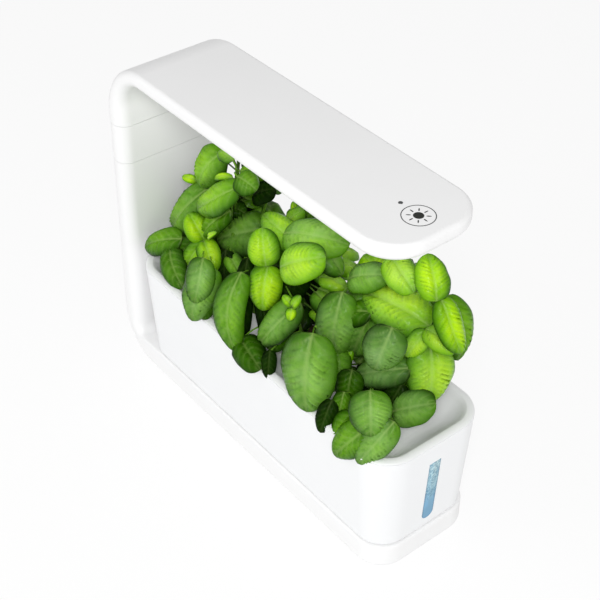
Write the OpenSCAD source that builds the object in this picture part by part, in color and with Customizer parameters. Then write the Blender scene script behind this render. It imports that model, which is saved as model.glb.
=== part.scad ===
// Countertop hydroponic garden: a C-shaped frame with a grow light in its arm, a sleeve
// that raises the arm, and a water tank whose planting deck carries three pots of basil.
// Millimetres. X runs along the frame from the column to the front, Y across it, Z up.
// The origin is on the surface that the garden stands on, midway along and across the frame.

/* [Frame] */
// Length of the frame, from the column's outer face to the front of the base
frame_l = 400; // [390:1:420]
// Height of the frame with the sleeve in place
frame_h = 338; // [330:1:360]
// Width of the frame at its foot
foot_w = 113; // [110:0.5:118]
// Width of the frame at its top
head_w = 102; // [98:0.5:106]
// Thickness of the column
column_t = 26; // [24:0.5:30]
// Height of the base's top over the surface
base_t = 27; // [25:0.5:30]
// Thickness of the arm
arm_t = 16; // [15:0.5:19]
// Reach of the arm, from the column's outer face to its tip
arm_l = 388; // [376:1:400]
// Wall thickness of the frame's mouldings
shell_wall = 2.4; // [2:0.1:3]
// Outer radius of the bend at the head
head_bend_r = 63; // [56:1:70]
// Radius of the hollow under the head bend
head_hollow_r = 34; // [28:1:40]
// Outer radius of the bend at the heel
heel_bend_r = 50; // [44:1:54]
// Radius of the hollow between column and base
heel_hollow_r = 10; // [6:1:12]
// Plan radius of the arm's tip corners
tip_r = 36; // [30:1:42]
// Plan radius of the base's front corners
front_r = 27; // [22:1:32]
// Edge radius of the column
column_edge_r = 12; // [8:0.5:12]
// Radius of the arm's top edge
arm_top_edge_r = 4; // [2:0.5:5]
// Radius of the arm's lower edge
arm_low_edge_r = 8; // [5:0.5:9]
// Radius of the base's bottom edge
base_low_edge_r = 5; // [3:0.5:7]
// Radius of the base's top edge
base_top_edge_r = 2; // [1:0.5:3]

/* [Sleeve] */
// Height of the hood, from the frame's top down to the seam over the sleeve
hood_h = 69.9; // [66:0.1:76]
// Height of the sleeve that raises the arm
sleeve_h = 39.5; // [34:1:40]
// Gap at the sleeve's seams
seam_gap = 0.4; // [0.3:0.05:0.6]
// Depth of the collars that plug into the piece below
collar_d = 14; // [10:1:18]
// Thickness of the collars
collar_t = 2; // [1.5:0.1:2.5]
// Play of a collar in its socket
collar_play = 0.6; // [0.5:0.05:0.8]

/* [Tank] */
// Height of the tank's rim over the surface
tank_top_z = 132; // [126:1:138]
// How far the tank's wall leans out from floor to rim
tank_flare = 6; // [4:0.5:7]
// Set-back of the tank's foot from the base's sides
tank_side_set = 1.7; // [1:0.1:3]
// Set-back of the tank's foot from the base's front
tank_front_set = 2.3; // [1:0.1:4]
// Room between the column and the tank's foot
tank_heel_gap = 19; // [17:0.5:24]
// Plan radius of the tank's foot corners
tank_corner_r = 26; // [20:1:32]
// Wall thickness of the tank
tank_wall = 2.6; // [2:0.1:3]
// Thickness of the tank's floor
tank_floor = 3; // [2.5:0.1:4]
// Gap at which a lifted or pulled-out piece rests on the piece that carries it
seat_gap = 0.3; // [0.25:0.05:0.4]

/* [Water gauge] */
// Width of the gauge window
gauge_w = 13; // [11:0.5:15]
// Height of the window's lower end over the surface
gauge_low_z = 38; // [36:1:44]
// Height of the window's top edge over the surface
gauge_top_z = 111; // [104:1:114]
// Lap of the window's flange behind the tank's wall
gauge_lap = 3; // [2.5:0.5:4]
// Thickness of the window's flange
gauge_flange_t = 1.6; // [1.2:0.1:2]
// Diameter of the float
float_d = 5.4; // [4.5:0.1:6]
// Height of the float's centre at rest
float_z = 49; // [47:1:54]
// Play round the float in its guide
float_play = 0.5; // [0.4:0.05:0.6]

/* [Planting deck] */
// Depth of the deck's dish under its crest
dish_d = 13; // [9:0.5:15]
// Width of the dish's rounded border
dish_w = 30; // [26:0.5:31]
// Height of the crest over the tank's rim
crest_h = 2.4; // [1.8:0.1:3]
// Thickness of the deck
deck_t = 2; // [1.6:0.1:2.6]
// Depth of the skirt that centres the deck in the tank
skirt_d = 5; // [4:0.5:7]
// Distance from the tank's foot at either end to the centre of the next pot
pot_end_set = 71.35; // [70:0.5:76]

/* [Pots] */
// Outer diameter of a net pot's rim
pot_rim_d = 57; // [54:0.5:59]
// Outer diameter of a net pot's body at the deck
pot_d = 50; // [46:0.5:51]
// Outer diameter of a net pot's floor
pot_floor_d = 38; // [34:0.5:42]
// Depth of a net pot under the deck
pot_depth = 44; // [38:1:48]
// Wall thickness of a net pot
pot_wall = 1.5; // [1.2:0.1:1.8]
// Thickness of a net pot's rim
pot_rim_t = 1.8; // [1.4:0.1:2.2]
// Number of slots round a net pot
pot_slots = 10; // [8:1:12]
// Width of a net pot's slots
pot_slot_w = 4; // [3:0.5:5]
// Play of a pot in its hole
pot_play = 0.5; // [0.4:0.05:0.8]

/* [Basil] */
// Thickness of a leaf
leaf_t = 1.1; // [1:0.1:1.4]
// Diameter of a stem at its foot
stem_d = 4.4; // [3.6:0.1:5]
// Distance from the lamp down to the top of the tallest stem
light_gap = 66; // [64:1:84]
// Room on each side of the plane between two plants
plant_gap = 1; // [0.6:0.1:2]
// Reach of the first plant towards the column
plant_back_reach = 84; // [70:1:88]
// Reach of the last plant towards the front
plant_front_reach = 76; // [66:1:78]
// Reach of the plants across the frame
plant_side_reach = 72; // [66:1:76]

/* [Lamp] */
// Room between the column and the lamp's opening under the arm
lamp_back_gap = 44; // [40:1:56]
// Width of the lamp's opening
lamp_w = 76; // [70:1:78]
// Thickness of the lamp's diffuser
diffuser_t = 2.2; // [1.8:0.1:2.6]
// Width of the lamp's circuit board
led_board_w = 50; // [44:1:56]
// Side of a light-emitting chip's package
led_s = 3.5; // [2.8:0.1:5]
// Chips along the board
led_columns = 12; // [8:1:14]
// Rows of chips across the board
led_rows = 3; // [2:1:4]
// Diameter of the touch field on the arm
touch_d = 28; // [24:0.5:30]
// Distance of the touch field's centre from the arm's tip
touch_set = 26.5; // [22:0.5:30]
// Diameter of the indicator light
indicator_d = 2.6; // [2:0.1:3]
// Distance from the touch field's centre to the indicator light
indicator_set = 20.5; // [18:0.5:22]

/* [Fixings] */
// Diameter of the screws' shanks
screw_d = 3; // [2.5:0.1:3.5]
// Diameter of the screws' heads
screw_head_d = 5.4; // [4.8:0.1:6]
// Height of the screws' heads
screw_head_h = 1.4; // [1:0.1:1.6]
// Outer diameter of the screw bosses
boss_d = 8; // [7:0.5:9]
// Diameter of the rubber feet
foot_d = 16; // [12:0.5:18]
// How far the feet hold the base off the surface
foot_h = 1.5; // [1:0.1:2]
// Depth of the feet's seats in the bottom plate
foot_seat = 1; // [0.8:0.1:1.2]
// Diameter of the power inlet's barrel
inlet_d = 11; // [9:0.5:12]
// Length of the power inlet's body
inlet_l = 14; // [12:0.5:16]

/* [Hidden] */
$fn = 48;

// Colours
white = [0.96, 0.96, 0.95];
soft_white = [0.9, 0.9, 0.89];
leaf_green = [0.36, 0.6, 0.11];

// Depth by which a cutting body passes a face
cut = shell_wall;

// Steps of the rounded forms
fillet_steps = 3;
bend_steps = 9;
corner_steps = 5;

// Shares of named sizes: a circuit board's thickness in walls, a socket across its screw,
// a blind bore along its piece, a pad across its board, and a boss's height in walls
board_share = 0.65;
socket_share = 0.8;
bore_share = 0.7;
boss_share = 1.5;
post_share = 0.4;

// Frame places
x_back = -frame_l / 2;
x_front = frame_l / 2;
x_inner = x_back + column_t;
x_tip = x_back + arm_l;
arm_z = frame_h - arm_t;
sleeve_top_z = frame_h - hood_h;
sleeve_z = sleeve_top_z - sleeve_h;

// Half of the frame's width at a height: its sides lean in towards the top.
function half_w(z) = (foot_w - (foot_w - head_w) * z / frame_h) / 2;

// One side of a section's outline, as [set-in from the side, depth under the outer face].
function edge_profile(t, ro, ri, s) =
    let (a = max(ro - s, s / 2), b = max(ri - s, s / 2))
    concat(
        [for (k = [0 : fillet_steps])
            let (w = 90 * k / fillet_steps)
            [s + a * (1 - sin(w)), s + a * (1 - cos(w))]],
        [for (k = [0 : fillet_steps])
            let (w = 90 * k / fillet_steps)
            [s + b * (1 - cos(w)), t - s - b * (1 - sin(w))]]
    );

// A section through the bar between an outer point and an inner point, [x, z] each.
// At a corner of radius r, turned by an angle, the outline follows the corner.
function section(o, i, ro, ri, s, r = 0, turn = 0) =
    let (
        t = norm(i - o),
        n = (i - o) / t,
        side = [for (p = edge_profile(t, ro, ri, s))
            let (
                c = o + n * p[1],
                out = r > 0 ? [r - (r - p[0]) * cos(turn), (r - p[0]) * sin(turn)] : [p[0], 0]
            )
            [c[0] + out[1], half_w(c[1]) - out[0], c[1]]]
    )
    concat(
        [for (p = side) [p[0], -p[1], p[2]]],
        [for (k = [len(side) - 1 : -1 : 0]) side[k]]
    );

// A closed body through rings of equally many points.
// A ring's first half runs along the near side and its second half back along the far one.
module loft(rings, downwards = false) {
    n = len(rings[0]);
    last = len(rings) - 1;
    points = [for (r = rings) each r];
    walls = [for (j = [0 : last - 1], k = [0 : n - 1])
        let (a = j * n + k, b = j * n + (k + 1) % n)
        each [[a, b, a + n], [b, b + n, a + n]]];
    first_cap = [for (k = [0 : n / 2 - 2])
        each [[k, n - 1 - k, k + 1], [k + 1, n - 1 - k, n - 2 - k]]];
    last_cap = [for (k = [0 : n / 2 - 2])
        let (e = last * n)
        each [[e + k, e + k + 1, e + n - 1 - k], [e + k + 1, e + n - 2 - k, e + n - 1 - k]]];
    faces = concat(walls, first_cap, last_cap);
    polyhedron(points, downwards ? faces : [for (f = faces) [f[0], f[2], f[1]]], convexity = 6);
}

function mix(a, b, share) = a + (b - a) * share;

// Sections of the hood: up the column, round the head bend, along the arm and round its tip.
function hood_rings(s, z_low) =
    let (
        co = [x_back + head_bend_r, frame_h - head_bend_r],
        ci = [x_inner + head_hollow_r, arm_z - head_hollow_r],
        e = column_edge_r
    )
    concat(
        [section([x_back, z_low], [x_inner, z_low], e, e, s)],
        [for (k = [0 : bend_steps])
            let (w = 90 * k / bend_steps, d = [-cos(w), sin(w)], share = k / bend_steps)
            section(co + head_bend_r * d, ci + head_hollow_r * d,
                mix(e, arm_top_edge_r, share), mix(e, arm_low_edge_r, share), s)],
        [for (k = [0 : corner_steps])
            section([x_tip - tip_r, frame_h], [x_tip - tip_r, arm_z],
                arm_top_edge_r, arm_low_edge_r, s, tip_r, 90 * k / corner_steps)]
    );

// Sections of the base: down the column, round the heel, along the base and round its front.
function base_rings(s, z_top) =
    let (
        co = [x_back + heel_bend_r, foot_h + heel_bend_r],
        ci = [x_inner + heel_hollow_r, base_t + heel_hollow_r],
        e = column_edge_r
    )
    concat(
        [section([x_back, z_top], [x_inner, z_top], e, e, s)],
        [for (k = [0 : bend_steps])
            let (w = 90 * k / bend_steps, d = [-cos(w), -sin(w)], share = k / bend_steps)
            section(co + heel_bend_r * d, ci + heel_hollow_r * d,
                mix(e, base_low_edge_r, share), mix(e, base_top_edge_r, share), s)],
        [for (k = [0 : corner_steps])
            section([x_front - front_r, foot_h], [x_front - front_r, base_t],
                base_low_edge_r, base_top_edge_r, s, front_r, 90 * k / corner_steps)]
    );

// A straight length of the column between two heights.
module column_piece(z0, z1, s) {
    e = column_edge_r;
    loft([
        section([x_back, z0], [x_inner, z0], e, e, s),
        section([x_back, z1], [x_inner, z1], e, e, s)
    ]);
}

// A rounded plate centred on a place, with true arcs at its corners.
module rounded_plate(l, w, r, h) {
    linear_extrude(h) {
        square([l - 2 * r, w], center = true);
        square([l, w - 2 * r], center = true);
        for (sx = [-1, 1], sy = [-1, 1])
            translate([sx * (l / 2 - r), sy * (w / 2 - r)]) circle(r);
    }
}

// Bottom plate and its screws
plate_l = frame_l - heel_bend_r - front_r;
plate_w = foot_w - 2 * boss_d;
plate_x = (x_back + heel_bend_r + x_front - front_r / 2) / 2 - front_r / 4;
plate_r = foot_d / 2;
plate_play = seat_gap;
plate_lip = boss_d / 2;
bottom_screw_share = 3.2;
bottom_screw_set = foot_d * bottom_screw_share;
bottom_screw_x = [plate_x - plate_l / 2 + bottom_screw_set, plate_x, plate_x + plate_l / 2 - bottom_screw_set];
bottom_screw_y = plate_w / 2 - boss_d / 2;
foot_x = plate_l / 2 - foot_d / 2 - plate_play;
foot_y = plate_w / 2 - foot_d / 2 - plate_play - screw_d / 2;

module at_bottom_screws() {
    for (x = bottom_screw_x, sy = [-1, 1])
        translate([x, sy * bottom_screw_y, 0]) children();
}

module at_feet() {
    for (sx = [-1, 1], sy = [-1, 1])
        translate([plate_x + sx * foot_x, sy * foot_y, 0]) children();
}

// Connector places in the column
core_x = x_back + column_t / 2;
link_l = column_t - 2 * shell_wall - 2 * collar_t - 2 * collar_play;
link_w = foot_w / 5;
shelf_z = sleeve_z - collar_d - 3 * shell_wall;
pin_d = screw_d / 2;
pin_pitch = link_w / 4;
socket_h = 2 * shell_wall;
pin_reach = socket_h / 2;

// Power inlet place, on the far side behind the heel
inlet_x = x_back + heel_bend_r + inlet_l;
inlet_z = foot_h + (base_t - foot_h) / 2;
inlet_y = half_w(inlet_z);

module base_shell() {
    color(white) {
        difference() {
            loft(base_rings(0, sleeve_z), downwards = true);
            loft(base_rings(shell_wall, sleeve_z + cut), downwards = true);
            translate([plate_x, 0, foot_h - cut])
                rounded_plate(plate_l, plate_w, plate_r, cut + 2 * shell_wall);
            translate([inlet_x, inlet_y - inlet_l, inlet_z])
                rotate([-90, 0, 0]) cylinder(d = inlet_d + seat_gap, h = 2 * inlet_l);
        }
        // Bosses for the bottom plate's screws
        at_bottom_screws()
            translate([0, 0, foot_h + shell_wall])
                difference() {
                    cylinder(d = boss_d, h = base_t - foot_h - boss_share * shell_wall);
                    translate([0, 0, -cut]) cylinder(d = screw_d, h = base_t / 2);
                }
        // Shelf in the column that carries the socket
        difference() {
            column_piece(shelf_z, shelf_z + shell_wall, shell_wall / 2);
            translate([core_x - pin_d * 2, -link_w / 2 + pin_d, shelf_z - cut])
                cube([pin_d * 4, link_w - 2 * pin_d, 3 * cut]);
        }
    }
}

module bottom_plate() {
    color(soft_white)
        difference() {
            translate([plate_x, 0, foot_h])
                rounded_plate(plate_l - 2 * plate_play, plate_w - 2 * plate_play, plate_r - plate_play,
                    shell_wall);
            at_bottom_screws() translate([0, 0, foot_h - cut]) {
                cylinder(d = screw_d + seat_gap, h = 3 * cut);
                cylinder(d = screw_head_d + seat_gap, h = cut + screw_head_h);
            }
            at_feet() translate([0, 0, foot_h - cut]) cylinder(d = foot_d + seat_gap, h = cut + foot_seat);
        }
}

module rubber_feet() {
    color("dimgray")
        at_feet() {
            difference() {
                cylinder(d = foot_d, h = foot_h + foot_seat);
                translate([0, 0, -foot_h / 2]) cylinder(d = foot_d / 4, h = foot_h);
            }
        }
}

// A screw with its head down, its tip up.
module screw(l) {
    cylinder(d = screw_head_d, h = screw_head_h);
    cylinder(d = screw_d, h = l);
}

module bottom_screws() {
    color("silver")
        at_bottom_screws()
            translate([0, 0, foot_h])
                difference() {
                    screw(base_t / 3);
                    translate([0, 0, -screw_head_h / 2])
                        cylinder(d = screw_d * socket_share, h = screw_head_h, $fn = 6);
                }
}

module power_inlet() {
    color("dimgray")
        translate([inlet_x, inlet_y - shell_wall / 4, inlet_z])
            rotate([90, 0, 0])
                difference() {
                    cylinder(d = inlet_d, h = inlet_l);
                    difference() {
                        translate([0, 0, -cut]) cylinder(d = inlet_d / 2, h = cut + inlet_l * bore_share);
                        cylinder(d = inlet_d / 6, h = inlet_l);
                    }
                }
}

board_t = shell_wall * board_share;
inlet_board_share = 2.6;
inlet_board_l = inlet_l * inlet_board_share;
inlet_board_y = inlet_y - shell_wall / 4 - inlet_l - board_t;

module inlet_board() {
    color("darkgreen")
        difference() {
            translate([inlet_x - inlet_board_l / 3, inlet_board_y, foot_h + 2 * shell_wall])
                cube([inlet_board_l, board_t, base_t - foot_h - 4 * shell_wall]);
            translate([inlet_x + inlet_board_l / 2, inlet_board_y - cut, inlet_z])
                rotate([-90, 0, 0]) cylinder(d = screw_d, h = 3 * cut);
        }
}

// A connector block round the column's core.
module core_block(z0, h) {
    translate([core_x - link_l / 2, -link_w / 2, z0]) cube([link_l, link_w, h]);
}

module at_pins() {
    for (k = [-1 : 1]) translate([core_x, k * pin_pitch, 0]) children();
}

socket_z = shelf_z + shell_wall;

module column_socket() {
    color("dimgray")
        difference() {
            core_block(socket_z, socket_h);
            at_pins() translate([0, 0, socket_z + socket_h - pin_reach - seat_gap])
                cylinder(d = pin_d + 2 * seat_gap, h = socket_h);
        }
}

// A lead's quarter turn about the origin in the XZ plane, from one compass point to the next.
module lead_turn(r, from) {
    rotate([90, 0, 0]) rotate([0, 0, from]) rotate_extrude(angle = 90) translate([r, 0]) circle(d = pin_d);
}

heel_lead_r = x_back + heel_bend_r - core_x;
heel_lead_z = foot_h + heel_bend_r - heel_lead_r;

module column_leads() {
    color("firebrick")
        for (k = [-1, 1])
            translate([0, k * pin_pitch, 0]) {
                translate([core_x, 0, foot_h + heel_bend_r])
                    cylinder(d = pin_d, h = socket_z - foot_h - heel_bend_r);
                translate([x_back + heel_bend_r, 0, foot_h + heel_bend_r]) lead_turn(heel_lead_r, 180);
                translate([x_back + heel_bend_r, 0, heel_lead_z])
                    rotate([0, 90, 0]) cylinder(d = pin_d, h = inlet_l - k * pin_pitch);
                translate([inlet_x - k * pin_pitch, 0, heel_lead_z]) {
                    sphere(d = pin_d);
                    rotate([-90, 0, 0]) cylinder(d = pin_d, h = inlet_board_y - k * pin_pitch);
                }
            }
}

// A collar that fills its own piece and plugs with some play into the piece below.
module collar(z_seam, grip) {
    difference() {
        union() {
            column_piece(z_seam + seam_gap / 2, z_seam + grip, shell_wall);
            column_piece(z_seam - collar_d, z_seam + seam_gap, shell_wall + collar_play);
        }
        column_piece(z_seam - collar_d - cut, z_seam + grip + cut, shell_wall + collar_play + collar_t);
    }
    // Bridge that carries the connector block
    difference() {
        column_piece(z_seam - shell_wall / 2, z_seam + shell_wall / 2,
            shell_wall + collar_play + collar_t / 2);
        translate([core_x - link_l / 2 - seat_gap / 2, -link_w / 2 - seat_gap / 2, z_seam - cut])
            cube([link_l + seat_gap, link_w + seat_gap, 2 * cut]);
    }
}

module sleeve_shell() {
    color(white)
        difference() {
            column_piece(sleeve_z + seam_gap, sleeve_top_z, 0);
            column_piece(sleeve_z - cut, sleeve_top_z + cut, shell_wall);
        }
}

sleeve_grip = sleeve_h - 2 * collar_d;

module sleeve_collar() {
    color(soft_white) collar(sleeve_z, sleeve_grip);
}

link_low_z = socket_z + socket_h + seat_gap;
link_top_z = sleeve_top_z - collar_d - shell_wall;

module sleeve_link() {
    color("dimgray")
        difference() {
            core_block(link_low_z, link_top_z - link_low_z);
            at_pins() translate([0, 0, link_top_z - pin_reach - seat_gap])
                cylinder(d = pin_d + 2 * seat_gap, h = socket_h);
        }
}

module contact_pins(z) {
    color("goldenrod") at_pins() translate([0, 0, z - pin_reach]) cylinder(d = pin_d, h = pin_reach);
}

module sleeve_pins() {
    contact_pins(link_low_z);
}

// Lamp places under the arm
lamp_l = x_tip - tip_r / 2 - x_inner - lamp_back_gap;
lamp_x = x_tip - tip_r / 2 - lamp_l / 2;
led_board_l = lamp_l - tip_r;
// Share of the board between its middle and the leads' joints, and of the board that the chips cover
lead_end_share = 0.46;
chip_field_shares = [0.86, 0.7];
lamp_r = arm_low_edge_r;
diffuser_play = seat_gap;
lamp_screw_x = lamp_l / 2 - boss_d;
lamp_screw_y = lamp_w / 2 - boss_d / 2 - diffuser_play;
ceiling_z = frame_h - shell_wall;
led_board_z = ceiling_z - shell_wall - board_t;
led_board_x = lamp_x - (lamp_l - led_board_l) / 4;
led_h = board_t / 2;
touch_x = x_tip - touch_set;
touch_inlay = shell_wall / 2;
indicator_x = touch_x - indicator_set;
touch_board_l = touch_d + indicator_set;

module at_lamp_screws() {
    for (x = [-1, 0, 1], sy = [-1, 1])
        translate([lamp_x + x * lamp_screw_x, sy * lamp_screw_y, 0]) children();
}

module hood_shell() {
    color(white) {
        difference() {
            loft(hood_rings(0, sleeve_top_z + seam_gap));
            loft(hood_rings(shell_wall, sleeve_top_z - cut));
            translate([lamp_x, 0, arm_z - cut]) rounded_plate(lamp_l, lamp_w, lamp_r, cut + 2 * shell_wall);
            translate([touch_x, 0, frame_h - touch_inlay]) cylinder(d = touch_d, h = cut);
            translate([indicator_x, 0, ceiling_z - cut]) cylinder(d = indicator_d, h = 3 * cut);
        }
        // Bosses for the diffuser's screws
        at_lamp_screws()
            translate([0, 0, arm_z + diffuser_t])
                difference() {
                    cylinder(d = boss_d - 2 * seat_gap, h = arm_t - diffuser_t - shell_wall / 2);
                    translate([0, 0, -cut]) cylinder(d = screw_d, h = cut + arm_t / 2);
                }
        // Pads that hold the lamp's board off the top
        for (x = [-1, 0, 1], sy = [-1, 1])
            translate([
                led_board_x + x * led_board_l * post_share,
                sy * led_board_w * post_share,
                led_board_z + board_t
            ])
                cylinder(d = screw_d * 2, h = boss_share * shell_wall);
    }
}

// The collar's grip in the hood ends where the head bend starts.
hood_grip = frame_h - head_bend_r - sleeve_top_z;

module hood_collar() {
    color(soft_white) collar(sleeve_top_z, hood_grip);
}

plug_low_z = link_top_z + seat_gap;
plug_top_z = sleeve_top_z + shell_wall;

module hood_plug() {
    color("dimgray") core_block(plug_low_z, plug_top_z - plug_low_z);
}

module hood_pins() {
    contact_pins(plug_low_z);
}

// Leads from the plug round the head bend to the lamp's board
lead_z = led_board_z - pin_d / 2;
lead_turn_r = lead_z - (frame_h - head_bend_r);

module hood_leads() {
    bend_z = frame_h - head_bend_r;
    color("firebrick")
        for (k = [-1, 1])
            translate([core_x, k * pin_pitch, 0]) {
                translate([0, 0, plug_top_z]) cylinder(d = pin_d, h = bend_z - plug_top_z);
                translate([lead_turn_r, 0, bend_z]) lead_turn(lead_turn_r, 90);
                translate([lead_turn_r, 0, lead_z])
                    rotate([0, 90, 0])
                        cylinder(d = pin_d, h = led_board_x - led_board_l * lead_end_share - core_x - lead_turn_r);
            }
}

module led_board() {
    color("gainsboro")
        difference() {
            translate([led_board_x, 0, led_board_z])
                rounded_plate(led_board_l, led_board_w, screw_d, board_t);
            translate([led_board_x, 0, led_board_z - cut]) cylinder(d = screw_d, h = 3 * cut);
        }
}

module leds() {
    pitch_x = led_board_l * chip_field_shares[0] / (led_columns - 1);
    pitch_y = led_board_w * chip_field_shares[1] / (led_rows - 1);
    color("lightyellow")
        for (i = [0 : led_columns - 1], j = [0 : led_rows - 1])
            translate([
                led_board_x + (i - (led_columns - 1) / 2) * pitch_x,
                (j - (led_rows - 1) / 2) * pitch_y,
                led_board_z - led_h
            ])
                translate([-led_s / 2, -led_s / 2, 0]) cube([led_s, led_s, led_h]);
}

module diffuser() {
    color("whitesmoke")
        difference() {
            translate([lamp_x, 0, arm_z])
                rounded_plate(lamp_l - 2 * diffuser_play, lamp_w - 2 * diffuser_play,
                    lamp_r - diffuser_play, diffuser_t);
            at_lamp_screws() translate([0, 0, arm_z - cut]) {
                cylinder(d = screw_d + seat_gap, h = 3 * cut);
                cylinder(d = screw_head_d + seat_gap, h = cut + screw_head_h);
            }
        }
}

module diffuser_screws() {
    color("silver")
        at_lamp_screws()
            translate([0, 0, arm_z])
                difference() {
                    screw(arm_t / 2);
                    translate([0, 0, -screw_head_h / 2])
                        cylinder(d = screw_d * socket_share, h = screw_head_h, $fn = 6);
                }
}

module touch_field() {
    color(white)
        translate([touch_x, 0, frame_h - touch_inlay]) cylinder(d = touch_d, h = touch_inlay);
}

module touch_board() {
    color("darkgreen")
        translate([touch_x + touch_d / 2 - touch_board_l / 2, 0, ceiling_z - board_t])
            rounded_plate(touch_board_l, touch_d * socket_share, screw_d, board_t);
}

module indicator_light() {
    color("gray")
        translate([indicator_x, 0, ceiling_z]) cylinder(d = indicator_d, h = shell_wall);
}

// Tank places. Its foot stands a seat gap over the base.
tank_z = base_t + seat_gap;
tank_x0 = x_inner + tank_heel_gap;
tank_x1 = x_front - tank_front_set;
tank_half_w = half_w(base_t) - tank_side_set;
tank_mid_x = (tank_x0 + tank_x1) / 2;
pot_pitch = (tank_x1 - tank_x0) / 2 - pot_end_set;

function lean(z) = tank_flare * (z - tank_z) / (tank_top_z - tank_z);

// The tank's plan outline set in by s, leaning out with height.
// It runs round the left side first, so that a loft can close it from side to side.
function plan_ring(s, z) = let (
        d = lean(z) - s,
        r = tank_corner_r + d,
        x0 = tank_x0 - d + r,
        x1 = tank_x1 + d - r,
        y = tank_half_w + d - r,
        side = concat(
            [for (k = [0 : corner_steps])
                let (w = 90 * k / corner_steps)
                [x0 - r * cos(w), y + r * sin(w)]],
            [for (k = [0 : corner_steps])
                let (w = 90 * k / corner_steps)
                [x1 + r * sin(w), y + r * cos(w)]]
        )
    )
    concat(
        [for (p = side) [p[0], -p[1], z]],
        [for (k = [len(side) - 1 : -1 : 0]) [side[k][0], side[k][1], z]]
    );

foot_round = tank_wall;
fillet_share = 0.3;

module tank_body(s, z0, z1) {
    loft([plan_ring(s, z0), plan_ring(s, z1)]);
}

// A place on the tank's front wall: X out of the wall, Y across it, Z up along it.
gauge_tilt = atan(tank_flare / (tank_top_z - tank_z));

module on_front_wall() {
    translate([tank_x1, 0, tank_z]) rotate([0, gauge_tilt, 0]) children();
}

// A bar across the wall with the gauge's outline: a flat top and a round lower end.
// It reaches from one depth behind the wall's face to a smaller one.
module gauge_bar(grow, deep, shallow) {
    w = gauge_w + 2 * grow;
    low = (gauge_low_z + gauge_w / 2 - tank_z) / cos(gauge_tilt);
    top = (gauge_top_z - tank_z) / cos(gauge_tilt) + grow;
    on_front_wall()
        translate([-deep, 0, 0])
            rotate([90, 0, 90])
                linear_extrude(deep - shallow) {
                    translate([-w / 2, low]) square([w, top - low]);
                    translate([0, low]) circle(d = w);
                }
}

module tank() {
    color(white)
        difference() {
            loft([
                plan_ring(foot_round, tank_z),
                plan_ring(foot_round * fillet_share, tank_z + foot_round * fillet_share),
                plan_ring(0, tank_z + foot_round),
                plan_ring(0, tank_top_z - tank_wall / 4),
                plan_ring(tank_wall / 4, tank_top_z)
            ]);
            tank_body(tank_wall, tank_z + tank_floor, tank_top_z + cut);
            gauge_bar(0, 2 * tank_wall, -tank_wall);
        }
}

seal_t = gauge_flange_t / 2;
inner_face = tank_wall * cos(gauge_tilt);
flange_face = inner_face + seal_t;
guide_face = flange_face + gauge_flange_t;

module gauge_window() {
    color([0.6, 0.8, 0.92, 0.6]) {
        gauge_bar(-seat_gap / 2, guide_face, 0);
        gauge_bar(gauge_lap, guide_face, flange_face);
    }
}

module gauge_seal() {
    color("dimgray")
        difference() {
            gauge_bar(gauge_lap, flange_face, inner_face);
            gauge_bar(0, 2 * guide_face, -tank_wall);
        }
}

// Places along the leaning gauge
guide_wall = tank_wall / 2;
guide_in = float_d + 2 * float_play;
float_low = (float_z - tank_z) / cos(gauge_tilt);
guide_low = float_low - float_d / 2 - float_play - guide_wall;
guide_top = (gauge_top_z - tank_z) / cos(gauge_tilt);
float_travel = guide_top - float_low - float_d / 2 - float_play - guide_wall;

module float_guide() {
    l = guide_top - guide_low;
    color("whitesmoke")
        on_front_wall()
            translate([-guide_face, 0, guide_low])
                difference() {
                    translate([-guide_in - guide_wall, -guide_in / 2 - guide_wall, 0])
                        cube([guide_in + guide_wall, guide_in + 2 * guide_wall, l]);
                    translate([-guide_in, -guide_in / 2, guide_wall])
                        cube([guide_in + cut, guide_in, l - 2 * guide_wall]);
                    translate([-guide_in / 2, 0, -cut]) cylinder(d = float_d / 2, h = l + 3 * cut);
                }
}

module gauge_float() {
    color("white")
        on_front_wall()
            translate([-guide_face - guide_in / 2, 0, float_low]) sphere(d = float_d);
}

// The planting deck's profile, [set-in from the rim, height over the rim], from under its
// middle out to its edge and back over its top.
edge_set = tank_wall / 4;
skirt_share = 0.8;
crest_share = 0.75;
border_share = 0.14;
skirt_out = tank_wall + 2 * seat_gap;
skirt_in = skirt_out + deck_t * skirt_share;
dish_shares = [[1, 1], [0.8, 0.93], [0.6, 0.72], [0.43, 0.42], [0.31, 0.14], [0.22, 0]];
dish_rise = dish_d - crest_h;
deck_under = concat(
    [for (p = dish_shares) [dish_w * p[0], crest_h - deck_t - dish_d * p[1]]],
    [
        [skirt_in, seat_gap],
        [skirt_in, -skirt_d],
        [skirt_out, -skirt_d],
        [skirt_out, seat_gap],
        [edge_set, seat_gap]
    ]
);
deck_over = [
    [edge_set, seat_gap + crest_h / 3],
    [edge_set + crest_h / 2, crest_h * crest_share],
    [dish_w * border_share, crest_h],
    for (k = [len(dish_shares) - 1 : -1 : 0]) [dish_w * dish_shares[k][0], crest_h - dish_d * dish_shares[k][1]]
];

function rim_ring(p) =
    let (ring = plan_ring(p[0], tank_top_z))
    [for (q = ring) [q[0], q[1], tank_top_z + p[1]]];

deck_z = tank_top_z + crest_h - dish_d;
pot_x = [for (k = [-1 : 1]) tank_mid_x + k * pot_pitch];

module planting_deck() {
    color(white)
        difference() {
            loft([for (p = concat(deck_under, deck_over)) rim_ring(p)]);
            for (x = pot_x)
                translate([x, 0, deck_z - 3 * deck_t]) cylinder(d = pot_d + 2 * pot_play, h = 6 * deck_t);
        }
}

// Pots: a slotted basket with a rim that rests on the deck
pot_seat_z = deck_z + seat_gap;

rim_share = 0.6;
// Slots: how far under the rim they end, and their height, as shares of the pot's depth.
slot_shares = [0.86, 0.62];

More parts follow.
